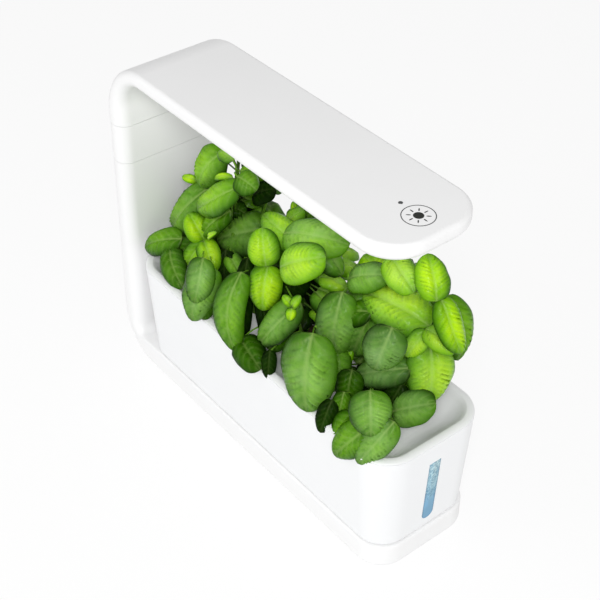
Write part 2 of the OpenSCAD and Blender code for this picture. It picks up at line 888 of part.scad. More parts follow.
module net_pot(k) {
    color(soft_white)
        translate([pot_x[k], 0, pot_seat_z])
            difference() {
                rotate_extrude() polygon([
                    [0, -pot_depth],
                    [pot_floor_d / 2, -pot_depth],
                    [pot_d / 2, 0],
                    [pot_rim_d / 2, 0],
                    [pot_rim_d / 2, pot_rim_t * rim_share],
                    [pot_rim_d / 2 - pot_rim_t * (1 - rim_share), pot_rim_t],
                    [pot_d / 2 - pot_wall, pot_rim_t],
                    [pot_floor_d / 2 - pot_wall, pot_wall - pot_depth],
                    [0, pot_wall - pot_depth]
                ]);
                for (j = [0 : pot_slots / 2 - 1])
                    rotate([0, 0, j * 360 / pot_slots])
                        translate([-pot_d, -pot_slot_w / 2, -pot_depth * slot_shares[0]])
                            cube([2 * pot_d, pot_slot_w, pot_depth * slot_shares[1]]);
                for (j = [0 : pot_slots / 2 - 1])
                    rotate([0, 0, j * 720 / pot_slots])
                        translate([pot_floor_d / 4, 0, -pot_depth - cut]) cylinder(d = pot_slot_w, h = 3 * cut);
            }
}

plug_top = pot_seat_z;
plug_d = pot_d - 2 * pot_wall - 2 * pot_play;
plug_floor_d = pot_floor_d - 2 * pot_wall - 2 * pot_play;

module grow_plug(k) {
    color("saddlebrown")
        translate([pot_x[k], 0, plug_top - pot_depth + pot_wall])
            cylinder(d1 = plug_floor_d, d2 = plug_d, h = pot_depth - pot_wall);
}

// Basil. Each plant has stems that lean out from the middle of the plug and bow upright,
// with leaves in opposite pairs, each pair a quarter turn on from the one below.
// Per stem: turn in degrees, lean in degrees, share of the tallest stem.
stem_shares = [[20, 8, 1], [110, 24, 0.8], [200, 26, 0.92], [290, 24, 0.74]];
// Per pair: share of the stem, share of the longest leaf, rise of the leaf in degrees.
pair_shares = [[0.44, 0.94, -12], [0.72, 1, 8], [0.93, 0.7, 28], [1, 0.42, 50]];
// Across a leaf's rows: share of the length, share of the half width, share of the bow.
leaf_rows = [[0, 0.035, 0], [0.28, 0.82, 0.08], [0.54, 1, 0.1], [0.8, 0.68, 0.02], [1, 0.1, -0.16]];
leaf_cols = [-1, 0, 1];
leaf_half_share = 0.33;
// Length of the largest leaf as a share of the plants' reach.
leaf_share = 0.917;
leaf_l = plant_side_reach * leaf_share;
cup_share = 0.28;
bow_share = 0.2;
least_share = 0.01;
plant_turn = 31;
stem_twist = 10;
stem_sides = 6;
stem_taper_share = 0.45;
root_share = 0.1;
// The crown: radius and height of its rings in stem diameters.
crown_shares = [[1.7, 0], [1.6, 0.6], [1.2, 0.9]];
uneven_share = 0.96;

// A leaf along X with its margins turned down, as one closed skin.
module leaf(l) {
    hw = l * leaf_half_share;
    rows = len(leaf_rows);
    cols = len(leaf_cols);
    top = [for (r = leaf_rows, c = leaf_cols)
        [l * r[0], hw * r[1] * c, l * r[2] + leaf_t / 2 - hw * cup_share * r[1] * abs(c)]];
    low = [for (p = top) p - [0, 0, leaf_t]];
    n = rows * cols;
    skin = [for (i = [0 : rows - 2], j = [0 : cols - 2])
        let (a = i * cols + j, b = a + cols)
        each [[a, b, b + 1], [a, b + 1, a + 1]]];
    rim = concat(
        [for (j = [0 : cols - 2]) [j, j + 1]],
        [for (i = [0 : rows - 2]) [i * cols + cols - 1, (i + 1) * cols + cols - 1]],
        [for (j = [cols - 2 : -1 : 0]) [n - cols + j + 1, n - cols + j]],
        [for (i = [rows - 2 : -1 : 0]) [(i + 1) * cols, i * cols]]
    );
    faces = concat(
        [for (f = skin) [f[0], f[2], f[1]]],
        [for (f = skin) [f[0] + n, f[1] + n, f[2] + n]],
        [for (e = rim) each [[e[0], e[0] + n, e[1]], [e[1], e[0] + n, e[1] + n]]]
    );
    polyhedron(concat(top, low), faces, convexity = 4);
}

// A place along a stem.
function on_stem(foot, turn, out, h, t) =
    foot + [cos(turn) * sin(out), sin(turn) * sin(out), cos(out)] * h * t
        - [cos(turn), sin(turn), 0] * h * sin(out) * bow_share * t * t;

// The longest leaf that stays inside its plant's room along one axis.
function leaf_room(ahead, behind, along, across, over) = min([
    for (r = leaf_rows)
        let (w = leaf_half_share * r[1] * abs(across), a = r[0] * along + r[2] * over)
        min(ahead / max(w + a, least_share), behind / max(w - a, least_share))
]);

module basil(k) {
    half = pot_pitch / 2 - plant_gap;
    stem_h = arm_z - light_gap - plug_top;
    back = k == 0 ? plant_back_reach : half;
    front = k == 2 ? plant_front_reach : half;
    color(leaf_green)
        translate([pot_x[k], 0, plug_top]) {
            // Crown that the stems grow from
            loft([for (c = crown_shares)
                [for (q = [0 : stem_sides - 1])
                    let (w = stem_twist + 360 * q / stem_sides)
                    [cos(w) * c[0], sin(w) * c[0], c[1]] * stem_d]]);
            for (s = [0 : len(stem_shares) - 1]) {
                turn = stem_shares[s][0] + plant_turn * k;
                out = stem_shares[s][1];
                h = stem_h * stem_shares[s][2];
                foot = [cos(turn), sin(turn), 0] * stem_d;
                stops = [0, pair_shares[0][0], pair_shares[1][0], 1];
                loft([for (j = [0 : len(stops) - 1])
                    let (c = on_stem(foot, turn, out, h, stops[j]), r = stem_d / 2 * (1 - stem_taper_share * stops[j]))
                    [for (q = [0 : stem_sides - 1])
                        let (w = turn + stem_twist + 360 * q / stem_sides)
                        c + r * [cos(w), sin(w), 0]]]);
                for (p = [0 : len(pair_shares) - 1], side = [0, 180]) {
                    at = on_stem(foot, turn, out, h, pair_shares[p][0]);
                    w = turn + 45 + 90 * p + side * uneven_share + plant_turn * s / 2;
                    rise = pair_shares[p][2] + side * (1 - uneven_share);
                    c = cos(rise);
                    l = min(
                        leaf_l * pair_shares[p][1],
                        leaf_room(front - at[0], back + at[0], cos(w) * c, sin(w), -cos(w) * sin(rise)),
                        leaf_room(plant_side_reach - at[1], plant_side_reach + at[1],
                            sin(w) * c, cos(w), -sin(w) * sin(rise))
                    );
                    if (l > leaf_l / 4)
                        translate(at) rotate([0, -rise, w]) translate([-stem_d * root_share, 0, 0]) leaf(l);
                }
            }
        }
}

base_shell();
bottom_plate();
rubber_feet();
bottom_screws();
power_inlet();
inlet_board();
column_socket();
column_leads();
sleeve_shell();
sleeve_collar();
sleeve_link();
sleeve_pins();
hood_shell();
hood_collar();
hood_plug();
hood_pins();
hood_leads();
led_board();
leds();
diffuser();
diffuser_screws();
touch_field();
touch_board();
indicator_light();
tank();
gauge_window();
gauge_seal();
float_guide();
gauge_float();
planting_deck();
net_pot(0);  // net_pot_1
net_pot(1);  // net_pot_2
net_pot(2);  // net_pot_3
grow_plug(0);  // grow_plug_1
grow_plug(1);  // grow_plug_2
grow_plug(2);  // grow_plug_3
basil(0);  // basil_1
basil(1);  // basil_2
basil(2);  // basil_3
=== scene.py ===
# %% [markdown]
# # Countertop hydroponic garden
# The real thing is a white plastic frame shaped like a lying C, with a grow light in its arm.
# A tall water tank with slanting walls stands on its foot, and three basil plants grow out of
# the tank's lid. The frame comes from the CAD; this script gives it smooth skins, finishes,
# leaves, light and a camera.

# %% Set up
import math
import random

import bmesh
import bpy
from mathutils import Matrix, Vector
from mathutils.noise import noise as cloud


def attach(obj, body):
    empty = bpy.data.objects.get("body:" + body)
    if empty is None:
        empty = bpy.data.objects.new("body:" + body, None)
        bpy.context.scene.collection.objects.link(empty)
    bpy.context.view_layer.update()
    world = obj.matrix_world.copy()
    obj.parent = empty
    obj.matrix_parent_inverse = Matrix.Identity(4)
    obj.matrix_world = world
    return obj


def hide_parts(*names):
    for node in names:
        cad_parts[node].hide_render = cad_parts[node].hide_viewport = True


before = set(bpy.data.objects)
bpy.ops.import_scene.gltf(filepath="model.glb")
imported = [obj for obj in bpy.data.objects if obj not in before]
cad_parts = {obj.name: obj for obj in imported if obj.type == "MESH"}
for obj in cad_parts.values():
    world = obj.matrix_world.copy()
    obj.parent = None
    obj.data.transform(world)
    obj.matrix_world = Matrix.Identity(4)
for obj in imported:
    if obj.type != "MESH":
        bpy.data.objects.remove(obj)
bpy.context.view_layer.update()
MM = 0.001

# %% [markdown]
# ## The camera
# The photograph's perspective was solved from the frame's straight edges and vertical seams.
# It looks down on the front right corner through a rather long lens. The camera is set first,
# because the leaves are placed along its lines of sight.

# %% Camera
EYE = Vector((706.94, -547.89, 887.26))
TURN, TILT, ROLL = math.radians(51.34), math.radians(39.35), math.radians(0.14)
FOCAL_PX, MIDDLE_PX, SENSOR_MM = 1281.44, 300, 36
back_dir = Vector((math.sin(TURN) * math.cos(TILT), -math.cos(TURN) * math.cos(TILT), math.sin(TILT)))
flat_right = Vector((math.cos(TURN), math.sin(TURN), 0))
flat_up = back_dir.cross(flat_right)
right_dir = flat_right * math.cos(ROLL) + flat_up * math.sin(ROLL)
up_dir = flat_up * math.cos(ROLL) - flat_right * math.sin(ROLL)

camera_data = bpy.data.cameras.new("camera")
camera_data.sensor_width = SENSOR_MM
camera_data.lens = SENSOR_MM * FOCAL_PX / (2 * MIDDLE_PX)
camera_data.clip_start, camera_data.clip_end = 0.05, 20
camera = bpy.data.objects.new("camera", camera_data)
bpy.context.scene.collection.objects.link(camera)
turned = Matrix((right_dir, up_dir, back_dir)).transposed().to_4x4()
camera.matrix_world = Matrix.Translation(EYE * MM) @ turned
bpy.context.scene.camera = camera
bpy.context.scene.view_settings.view_transform = "Standard"


def spot(pixel, y):
    """The place behind a pixel of the photograph at a distance across the frame."""
    sight = right_dir * (pixel[0] - MIDDLE_PX) - up_dir * (pixel[1] - MIDDLE_PX) - back_dir * FOCAL_PX
    return EYE + sight * ((y - EYE.y) / sight.y)


print("lens", round(camera_data.lens, 2), "mm")

# %% [markdown]
# ## Helpers for meshes
# Everything below is worked out in millimetres, as in the part's source, and becomes metres
# when a mesh is made. Blender could bend and bevel ready-made blocks instead, but a skin that is
# lofted through worked-out rings follows the real section exactly and keeps its faces even.

# %% Skins through points and rings
def shape(name, points, faces):
    """A closed or open skin through points in millimetres."""
    form = bmesh.new()
    corners = [form.verts.new(Vector(p) * MM) for p in points]
    for face in faces:
        form.faces.new([corners[k] for k in face])
    bmesh.ops.recalc_face_normals(form, faces=form.faces)
    mesh = bpy.data.meshes.new(name)
    form.to_mesh(mesh)
    form.free()
    thing = bpy.data.objects.new(name, mesh)
    bpy.context.scene.collection.objects.link(thing)
    return thing


def loft(name, rings):
    """A closed body through rings whose second half runs back along the first."""
    count, last = len(rings[0]), len(rings) - 1
    faces = []
    for j in range(last):
        for k in range(count):
            a, b = j * count + k, j * count + (k + 1) % count
            faces.append((a, b, b + count, a + count))
    for end in (0, last * count):
        for k in range(count // 2 - 1):
            faces.append((end + k, end + k + 1, end + count - 2 - k, end + count - 1 - k))
    return shape(name, [p for ring in rings for p in ring], faces)

# %% [markdown]
# Openings are cut out of the skins with other bodies, as a tool would mill them, and bosses are
# joined on. Most of those bodies are round bars or blocks with round corners. A Boolean step in
# its exact way does both. It is applied at once, so that the next step finds a plain mesh.

# %% Tools that cut and join
def drum(name, centre, low, high, radius, axis="z", sides=64):
    """A round bar between two heights along an axis."""
    rings = []
    for height in (low, high):
        ring = []
        for k in range(sides):
            w = 2 * math.pi * (k + 0.5) / sides
            a, b = radius * math.cos(w), radius * math.sin(w)
            if axis == "z":
                ring.append((centre[0] + a, centre[1] + b, height))
            else:
                ring.append((centre[0] + a, height, centre[1] + b))
        rings.append(ring)
    return loft(name, rings)


def slab(name, centre, length, width, radius, low, high, steps=10):
    """An upright block with rounded corners in plan."""
    ring = []
    for quarter in range(4):
        cx = (length / 2 - radius) * (1, -1, -1, 1)[quarter]
        cy = (width / 2 - radius) * (1, 1, -1, -1)[quarter]
        for k in range(steps + 1):
            w = math.pi / 2 * (quarter + k / steps)
            ring.append((centre[0] + cx + radius * math.cos(w), centre[1] + cy + radius * math.sin(w)))
    return loft(name, [[(x, y, z) for x, y in ring] for z in (low, high)])


def carve(thing, tools, operation="DIFFERENCE"):
    """Cuts tools out of a body, or joins them to it, and throws the tools away."""
    for tool in tools:
        step = thing.modifiers.new("carve", "BOOLEAN")
        step.object, step.operation, step.solver = tool, operation, "EXACT"
    worked = thing.evaluated_get(bpy.context.evaluated_depsgraph_get())
    mesh = bpy.data.meshes.new_from_object(worked)
    thing.modifiers.clear()
    thing.data = mesh
    for tool in tools:
        bpy.data.objects.remove(tool)

# %% [markdown]
# A real edge is bright because it is rounded. Faces that meet at less than 32 degrees are shaded
# as one round surface, and others keep a clean edge. Then the piece is hung under the body of the
# part it rides on, and the CAD nodes it stands for are hidden.

# %% Dressing a piece
SHARP = math.radians(32)


def dress(thing, finish, body, stands_for=(), sharp=SHARP, weighted=True):
    """Gives a piece its finish, smooth shading and its body, and hides the nodes it stands for."""
    mesh = thing.data
    mesh.materials.clear()
    mesh.materials.append(finish)
    mesh.polygons.foreach_set("use_smooth", [True] * len(mesh.polygons))
    if sharp:
        mesh.set_sharp_from_angle(angle=sharp)
    if weighted:
        step = thing.modifiers.new("even faces", "WEIGHTED_NORMAL")
        step.keep_sharp = True
    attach(thing, body)
    if stands_for:
        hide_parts(*stands_for)
    print(thing.name, "faces", len(mesh.polygons), "on", body)

# %% [markdown]
# ## Finishes
# Moulded plastic is never one flat colour: its gloss varies, a fine grain from the tool shows
# in highlights, and large faces carry faint clouds. Painted pictures could show that, but noise
# that is worked out in the shader needs no unwrapping and stays sharp from near. One recipe with
# noise at two sizes serves all plain pieces, each with its own colour, gloss and grain.

# %% Colours and nodes
def colour(red, green, blue):
    """A screen colour from 0 to 255 as the light values that a shader takes."""
    def light(value):
        share = value / 255
        return share / 12.92 if share <= 0.04045 else ((share + 0.055) / 1.055) ** 2.4
    return (light(red), light(green), light(blue), 1)


def new_finish(name):
    """A new material, its node tree and its surface shader."""
    finish = bpy.data.materials.new(name)
    finish.use_nodes = True
    tree = finish.node_tree
    surface = tree.nodes["Principled BSDF"]
    return finish, tree, surface


def plug(tree, node, sockets):
    """Puts values or links on a node's sockets."""
    for key, value in sockets.items():
        if isinstance(value, bpy.types.NodeSocket):
            tree.links.new(value, node.inputs[key])
        else:
            node.inputs[key].default_value = value


def add(tree, kind, sockets=None, **settings):
    """A node with its settings, and with values or links on its sockets."""
    node = tree.nodes.new(kind)
    for key, value in settings.items():
        setattr(node, key, value)
    plug(tree, node, sockets or {})
    return node

# %% [markdown]
# Patterns are laid by the place on the piece itself, not in the room, so that they move with it.
# The other helpers stretch a value, mix two colours and turn a pattern into small bumps.

# %% Patterns and colours that mix
def own_place(tree):
    """The place on the piece itself, so that a pattern stays on it when it moves."""
    return add(tree, "ShaderNodeTexCoord").outputs["Object"]


def noise_at(tree, scale, detail=3.0, stretch=(1, 1, 1), rough=0.5):
    """Noise fixed to the piece, with a size of about one over the scale in metres."""
    laid = add(tree, "ShaderNodeMapping", {"Vector": own_place(tree), "Scale": stretch})
    node = add(tree, "ShaderNodeTexNoise", {
        "Vector": laid.outputs["Vector"], "Scale": scale, "Detail": detail, "Roughness": rough})
    return node.outputs["Fac"]


def between(tree, value, low, high, start=0.0, end=1.0):
    """A value that runs from start to end, stretched to run from low to high."""
    node = add(tree, "ShaderNodeMapRange", {
        "Value": value, "From Min": start, "From Max": end, "To Min": low, "To Max": high})
    return node.outputs["Result"]


def blended(tree, share, first, second, way="MIX"):
    """Two colours mixed by the share of the second one."""
    node = add(tree, "ShaderNodeMix", {0: share, 6: first, 7: second}, data_type="RGBA", blend_type=way)
    return node.outputs[2]


def relief(tree, height, strength, depth, over=None):
    """A surface's direction under bumps of a depth in metres, laid over other bumps or none."""
    sockets = {"Strength": strength, "Distance": depth, "Height": height}
    if over is not None:
        sockets["Normal"] = over
    return add(tree, "ShaderNodeBump", sockets).outputs["Normal"]

# %% [markdown]
# The recipe: wide clouds mix the colour with a slightly darker one, and a fine noise makes both
# the gloss uneven and the grain of the surface.

# %% Recipe for plain finishes
CLOUD_SCALE, GLOSS_SPREAD, GRAIN_STRENGTH = 16, 0.15, 0.5


def grained(name, tone, gloss, grain=900, depth=0.00004, clouds=0.02, stretch=(1, 1, 1), metal=0.0):
    """A moulded or milled finish: faint clouds of colour, uneven gloss and a fine grain."""
    finish, tree, surface = new_finish(name)
    wide = noise_at(tree, CLOUD_SCALE, 2, stretch)
    fine = noise_at(tree, grain, 3, stretch)
    darker = tuple(v * (1 - 4 * clouds) for v in tone[:3]) + (1,)
    plug(tree, surface, {
        "Base Color": blended(tree, between(tree, wide, 0.0, 1.0), darker, tone),
        "Roughness": between(tree, fine, gloss * (1 - GLOSS_SPREAD), gloss * (1 + GLOSS_SPREAD)),
        "Metallic": metal,
        "Normal": relief(tree, fine, GRAIN_STRENGTH, depth)})
    return finish

# %% [markdown]
# The frame, the tank and the deck are three mouldings in nearly the same white, and the inner
# pieces are a little darker and duller. Rubber, steel, brass and ink come next. A real maker
# would choose each from a sample card, and here too each is one line: its colour on a screen,
# its roughness and how coarse its grain is. The steel's grain is stretched into brush marks.

# %% Plain finishes
frame_white = grained("frame_white", colour(240, 240, 240), 0.42, clouds=0.008)
tank_white = grained("tank_white", colour(238, 239, 240), 0.36, grain=700, clouds=0.008)
deck_white = grained("deck_white", colour(238, 239, 239), 0.4, grain=800, clouds=0.008)
inner_white = grained("inner_white", colour(222, 222, 220), 0.5, clouds=0.015)
pot_white = grained("pot_white", colour(232, 232, 228), 0.5, clouds=0.02)
touch_white = grained("touch_white", colour(241, 241, 241), 0.3, grain=1200, depth=0.00002, clouds=0.006)
milky = grained("milky_plastic", colour(236, 236, 230), 0.3, grain=1500, depth=0.00002, clouds=0.01)
rubber = grained("foot_rubber", colour(58, 58, 60), 0.8, grain=1400, depth=0.00012, clouds=0.04)
seal_grey = grained("seal_rubber", colour(150, 168, 178), 0.7, grain=1400, depth=0.0001, clouds=0.04)
black_plastic = grained("black_plastic", colour(38, 38, 40), 0.45, grain=1100, clouds=0.03)
steel = grained(
    "screw_steel", colour(190, 190, 192), 0.3, grain=500, depth=0.00003, stretch=(1, 12, 1), metal=1.0)
brass = grained("contact_brass", colour(212, 176, 96), 0.28, grain=600, depth=0.00002, metal=1.0)
sleeving = grained("lead_sleeving", colour(150, 44, 36), 0.5, grain=900, clouds=0.05)
print_grey = grained("print_grey", colour(70, 72, 72), 0.55, grain=1600, depth=0.00002, clouds=0.03)
print_black = grained("print_black", colour(18, 24, 14), 0.55, grain=1600, depth=0.00002, clouds=0.03)
indicator_finish = grained("indicator_grey", colour(88, 90, 92), 0.25, grain=1500, clouds=0.03)
print("plain finishes", len(bpy.data.materials))

# %% [markdown]
# The lamp spreads the light of its chips through a milky cover. A lamp for each chip would cost
# much time, so the cover itself glows softly and evenly, and lights the leaves and the deck.

# %% Glow of the lamp's cover
LAMP_GLOW = 0.5
plug(milky.node_tree, milky.node_tree.nodes["Principled BSDF"], {
    "Emission Color": colour(255, 251, 246), "Emission Strength": LAMP_GLOW})
print("lamp glow", LAMP_GLOW)

# %% [markdown]
# A circuit board is a lacquered sheet with copper tracks and pads under the lacquer, so its
# finish lays a grid of slightly lighter lines and dots over the ground colour. Real tracks could
# be modelled, but they are thinner than a hair and mostly hidden. The white board under the chips
# is the same with a white lacquer, and a chip is a yellow phosphor with a pale package round it.

# %% Board and chip finishes
TRACK_SCALE, TRACK_W, PAD_SCALE, PAD_R = 160.0, 0.03, 330.0, 0.16


def board_finish(name, ground, track):
    """Lacquer over tracks: a brick grid of thin lines and small round pads."""
    finish, tree, surface = new_finish(name)
    place = own_place(tree)
    grid = add(tree, "ShaderNodeTexBrick", {
        "Vector": place, "Scale": TRACK_SCALE, "Mortar Size": TRACK_W,
        "Color1": ground, "Color2": ground, "Mortar": track})
    dots = add(tree, "ShaderNodeTexVoronoi", {"Vector": place, "Scale": PAD_SCALE})
    pad = add(tree, "ShaderNodeMath", {0: dots.outputs["Distance"], 1: PAD_R}, operation="LESS_THAN")
    plug(tree, surface, {
        "Base Color": blended(tree, pad.outputs[0], grid.outputs["Color"], track),
        "Roughness": between(tree, noise_at(tree, 900), 0.22, 0.34),
        "Normal": relief(tree, grid.outputs["Fac"], 0.6, 0.00006)})
    return finish


board_green = board_finish("board_green", colour(24, 92, 52), colour(66, 140, 84))
board_white = board_finish("board_white", colour(232, 232, 228), colour(206, 204, 190))

led_yellow, tree, surface = new_finish("led_yellow")
speck = noise_at(tree, 2600, 2)
plug(tree, surface, {
    "Base Color": blended(tree, speck, colour(242, 214, 96), colour(250, 236, 150)),
    "Roughness": between(tree, speck, 0.25, 0.5)})
print("board and chip finishes", board_green.name, board_white.name, led_yellow.name)

# %% [markdown]
# ## The frame's skins
# The frame is one bar whose section changes all the way: nearly round-edged in the column,
# flat in the arm. A curve with a bevel keeps one section, and a box that is bent and smoothed
# loses the flat faces, so each skin is lofted through sections that change along the way. They
# follow the same rule as the part's source, with many more steps round the bends and edges, and
# the skins are hollow like the mouldings.

# %% Frame sizes
FRAME_L, FRAME_H, FOOT_W, HEAD_W = 400, 338, 113, 102
COLUMN_T, BASE_T, ARM_T, ARM_L, WALL = 26, 27, 16, 388, 2.4
HEAD_BEND, HEAD_HOLLOW, HEEL_BEND, HEEL_HOLLOW = 63, 34, 50, 10
TIP_R, FRONT_R, FOOT_H = 36, 27, 1.5
COLUMN_EDGE, ARM_TOP_EDGE, ARM_LOW_EDGE, BASE_LOW_EDGE, BASE_TOP_EDGE = 12, 4, 8, 5, 2
SEAM_LOW, SEAM_HIGH, SEAM_GAP = 228.6, 268.1, 0.4
X_BACK, X_FRONT = -FRAME_L / 2, FRAME_L / 2
X_INNER, X_TIP, ARM_Z = X_BACK + COLUMN_T, X_BACK + ARM_L, FRAME_H - ARM_T
EDGE_STEPS, BEND_STEPS, CORNER_STEPS = 8, 36, 14


def half_w(z):
    """Half of the frame's width at a height."""
    return (FOOT_W - (FOOT_W - HEAD_W) * z / FRAME_H) / 2


def mix(first, second, share):
    """A value between two others."""
    return first + (second - first) * share


print("frame width at its foot", 2 * half_w(0), "mm, at its head", 2 * half_w(FRAME_H), "mm")

# %% [markdown]
# A section is drawn between an outer and an inner point of the bar, with a round edge at each.
# Half of it is worked out and the other half mirrored. At a round corner in plan, the section
# turns about that corner, so that the edge keeps its roundness on the way.

# %% Sections of the frame
def section(outer, inner, outer_r, inner_r, inset, corner=0, turn=0):
    """A ring through the bar between an outer and an inner point, [x, z] each."""
    thick = math.dist(outer, inner)
    way = ((inner[0] - outer[0]) / thick, (inner[1] - outer[1]) / thick)
    a, b = max(outer_r - inset, inset / 2), max(inner_r - inset, inset / 2)
    profile = []
    for k in range(EDGE_STEPS + 1):
        w = math.pi / 2 * k / EDGE_STEPS
        profile.append((inset + a * (1 - math.sin(w)), inset + a * (1 - math.cos(w))))
    for k in range(EDGE_STEPS + 1):
        w = math.pi / 2 * k / EDGE_STEPS
        profile.append((inset + b * (1 - math.cos(w)), thick - inset - b * (1 - math.sin(w))))
    side = []
    for in_from_side, depth in profile:
        x, z = outer[0] + way[0] * depth, outer[1] + way[1] * depth
        out = (in_from_side, 0)
        if corner:
            reach = corner - in_from_side
            out = (corner - reach * math.cos(turn), reach * math.sin(turn))
        side.append((x + out[1], half_w(z) - out[0], z))
    return [(x, -y, z) for x, y, z in side] + side[::-1]

# %% [markdown]
# Rings of sections go up the column and round a bend. Outer and inner side have their own
# centres and radii there, so the bar gets thinner or thicker on the way, and its edges change
# their radius evenly.

# %% Rings along the frame
def bend_rings(outer_mid, outer_r, inner_mid, inner_r, up, edges):
    """Rings round a bend of the bar, from the column into the arm or the base."""
    rings = []
    for k in range(BEND_STEPS + 1):
        share = k / BEND_STEPS
        w = math.pi / 2 * share
        way = (-math.cos(w), up * math.sin(w))
        outer = (outer_mid[0] + outer_r * way[0], outer_mid[1] + outer_r * way[1])
        inner = (inner_mid[0] + inner_r * way[0], inner_mid[1] + inner_r * way[1])
        rings.append((outer, inner, mix(COLUMN_EDGE, edges[0], share), mix(COLUMN_EDGE, edges[1], share)))
    return rings


def hood_rings(inset, low):
    """The hood: up the column, round the head bend, along the arm and round its tip."""
    rings = [section((X_BACK, low), (X_INNER, low), COLUMN_EDGE, COLUMN_EDGE, inset)]
    bend = bend_rings(
        (X_BACK + HEAD_BEND, FRAME_H - HEAD_BEND), HEAD_BEND,
        (X_INNER + HEAD_HOLLOW, ARM_Z - HEAD_HOLLOW), HEAD_HOLLOW, 1, (ARM_TOP_EDGE, ARM_LOW_EDGE))
    rings += [section(*stop, inset) for stop in bend]
    for k in range(CORNER_STEPS + 1):
        turn = math.pi / 2 * k / CORNER_STEPS
        rings.append(section(
            (X_TIP - TIP_R, FRAME_H), (X_TIP - TIP_R, ARM_Z), ARM_TOP_EDGE, ARM_LOW_EDGE, inset,
            TIP_R, turn))
    return rings


def base_rings(inset, top):
    """The base: down the column, round the heel, along the foot and round its front."""
    rings = [section((X_BACK, top), (X_INNER, top), COLUMN_EDGE, COLUMN_EDGE, inset)]
    bend = bend_rings(
        (X_BACK + HEEL_BEND, FOOT_H + HEEL_BEND), HEEL_BEND,
        (X_INNER + HEEL_HOLLOW, BASE_T + HEEL_HOLLOW), HEEL_HOLLOW, -1, (BASE_LOW_EDGE, BASE_TOP_EDGE))
    rings += [section(*stop, inset) for stop in bend]
    for k in range(CORNER_STEPS + 1):
        turn = math.pi / 2 * k / CORNER_STEPS
        rings.append(section(
            (X_FRONT - FRONT_R, FOOT_H), (X_FRONT - FRONT_R, BASE_T), BASE_LOW_EDGE, BASE_TOP_EDGE,
            inset, FRONT_R, turn))
    return rings


def column_rings(inset, low, high):
    """A straight length of the column."""
    return [section((X_BACK, z), (X_INNER, z), COLUMN_EDGE, COLUMN_EDGE, inset) for z in (low, high)]


print("frame", FRAME_L, "x", FOOT_W, "x", FRAME_H, "mm")

# %% [markdown]
# The base is one moulding with the lower column: a hollow bar that is open at the seam above
# and has a long opening below for its plate. Inside stand the bosses of the plate's screws and
# a shelf that carries the contact socket. A smaller loft of the same kind is cut out of the outer
# one, which leaves an even wall, and the bosses are then joined on.

# %% Base skin
BOSS_D, FEET_D, INLET_D, INLET_L = 8, 16, 11, 14
PLATE_L = FRAME_L - HEEL_BEND - FRONT_R
PLATE_W = FOOT_W - 2 * BOSS_D
PLATE_X = (X_BACK + HEEL_BEND + X_FRONT - FRONT_R / 2) / 2 - FRONT_R / 4
SCREW_SET = FEET_D * 3.2
INLET_GAP, COLLAR_L, SOCKET_L, SOCKET_W, SOCKET_R = 0.3, 14, 6, 20, 1
base_skin = loft("base_skin", base_rings(0, SEAM_LOW))
inlet_x, inlet_z = X_BACK + HEEL_BEND + INLET_L, FOOT_H + (BASE_T - FOOT_H) / 2
carve(base_skin, [
    loft("cavity", base_rings(WALL, SEAM_LOW + WALL)),
    slab("plate_hole", (PLATE_X, 0), PLATE_L, PLATE_W, FEET_D / 2, FOOT_H - WALL, FOOT_H + 2 * WALL),
    drum("inlet_hole", (inlet_x, inlet_z), half_w(inlet_z) - INLET_L, half_w(inlet_z) + INLET_L,
         (INLET_D + INLET_GAP) / 2, axis="y"),
])
posts = []
for x in (PLATE_X - PLATE_L / 2 + SCREW_SET, PLATE_X, PLATE_X + PLATE_L / 2 - SCREW_SET):
    for y in (-1, 1):
        post = drum("post", (x, y * (PLATE_W - BOSS_D) / 2), FOOT_H + WALL, BASE_T - WALL / 2, BOSS_D / 2)
        posts.append(post)
SHELF_Z = SEAM_LOW - COLLAR_L - 3 * WALL
shelf = loft("shelf", column_rings(WALL / 2, SHELF_Z, SHELF_Z + WALL))
carve(shelf, [slab(
    "slot", (X_BACK + COLUMN_T / 2, 0), SOCKET_L, SOCKET_W, SOCKET_R, SHELF_Z - WALL, SHELF_Z + 2 * WALL)])
carve(base_skin, posts + [shelf], "UNION")
dress(base_skin, frame_white, "base", ["base_shell"])

# %% [markdown]
# The sleeve is a straight piece of the column between the two seams, and the hood is the head
# bend with the arm. Under the arm lies the opening for the lamp, in its top a round pocket for
# the touch field and a small hole for the indicator light. All three skins could be one body
# with grooves for seams, but the sleeve and the hood lift off, so each is a body of its own and
# the seams are real gaps.

# %% Sleeve and hood skins
sleeve_skin = loft("sleeve_skin", column_rings(0, SEAM_LOW + SEAM_GAP, SEAM_HIGH))
carve(sleeve_skin, [loft("cavity", column_rings(WALL, SEAM_LOW - WALL, SEAM_HIGH + WALL))])
dress(sleeve_skin, frame_white, "sleeve", ["sleeve_shell"])

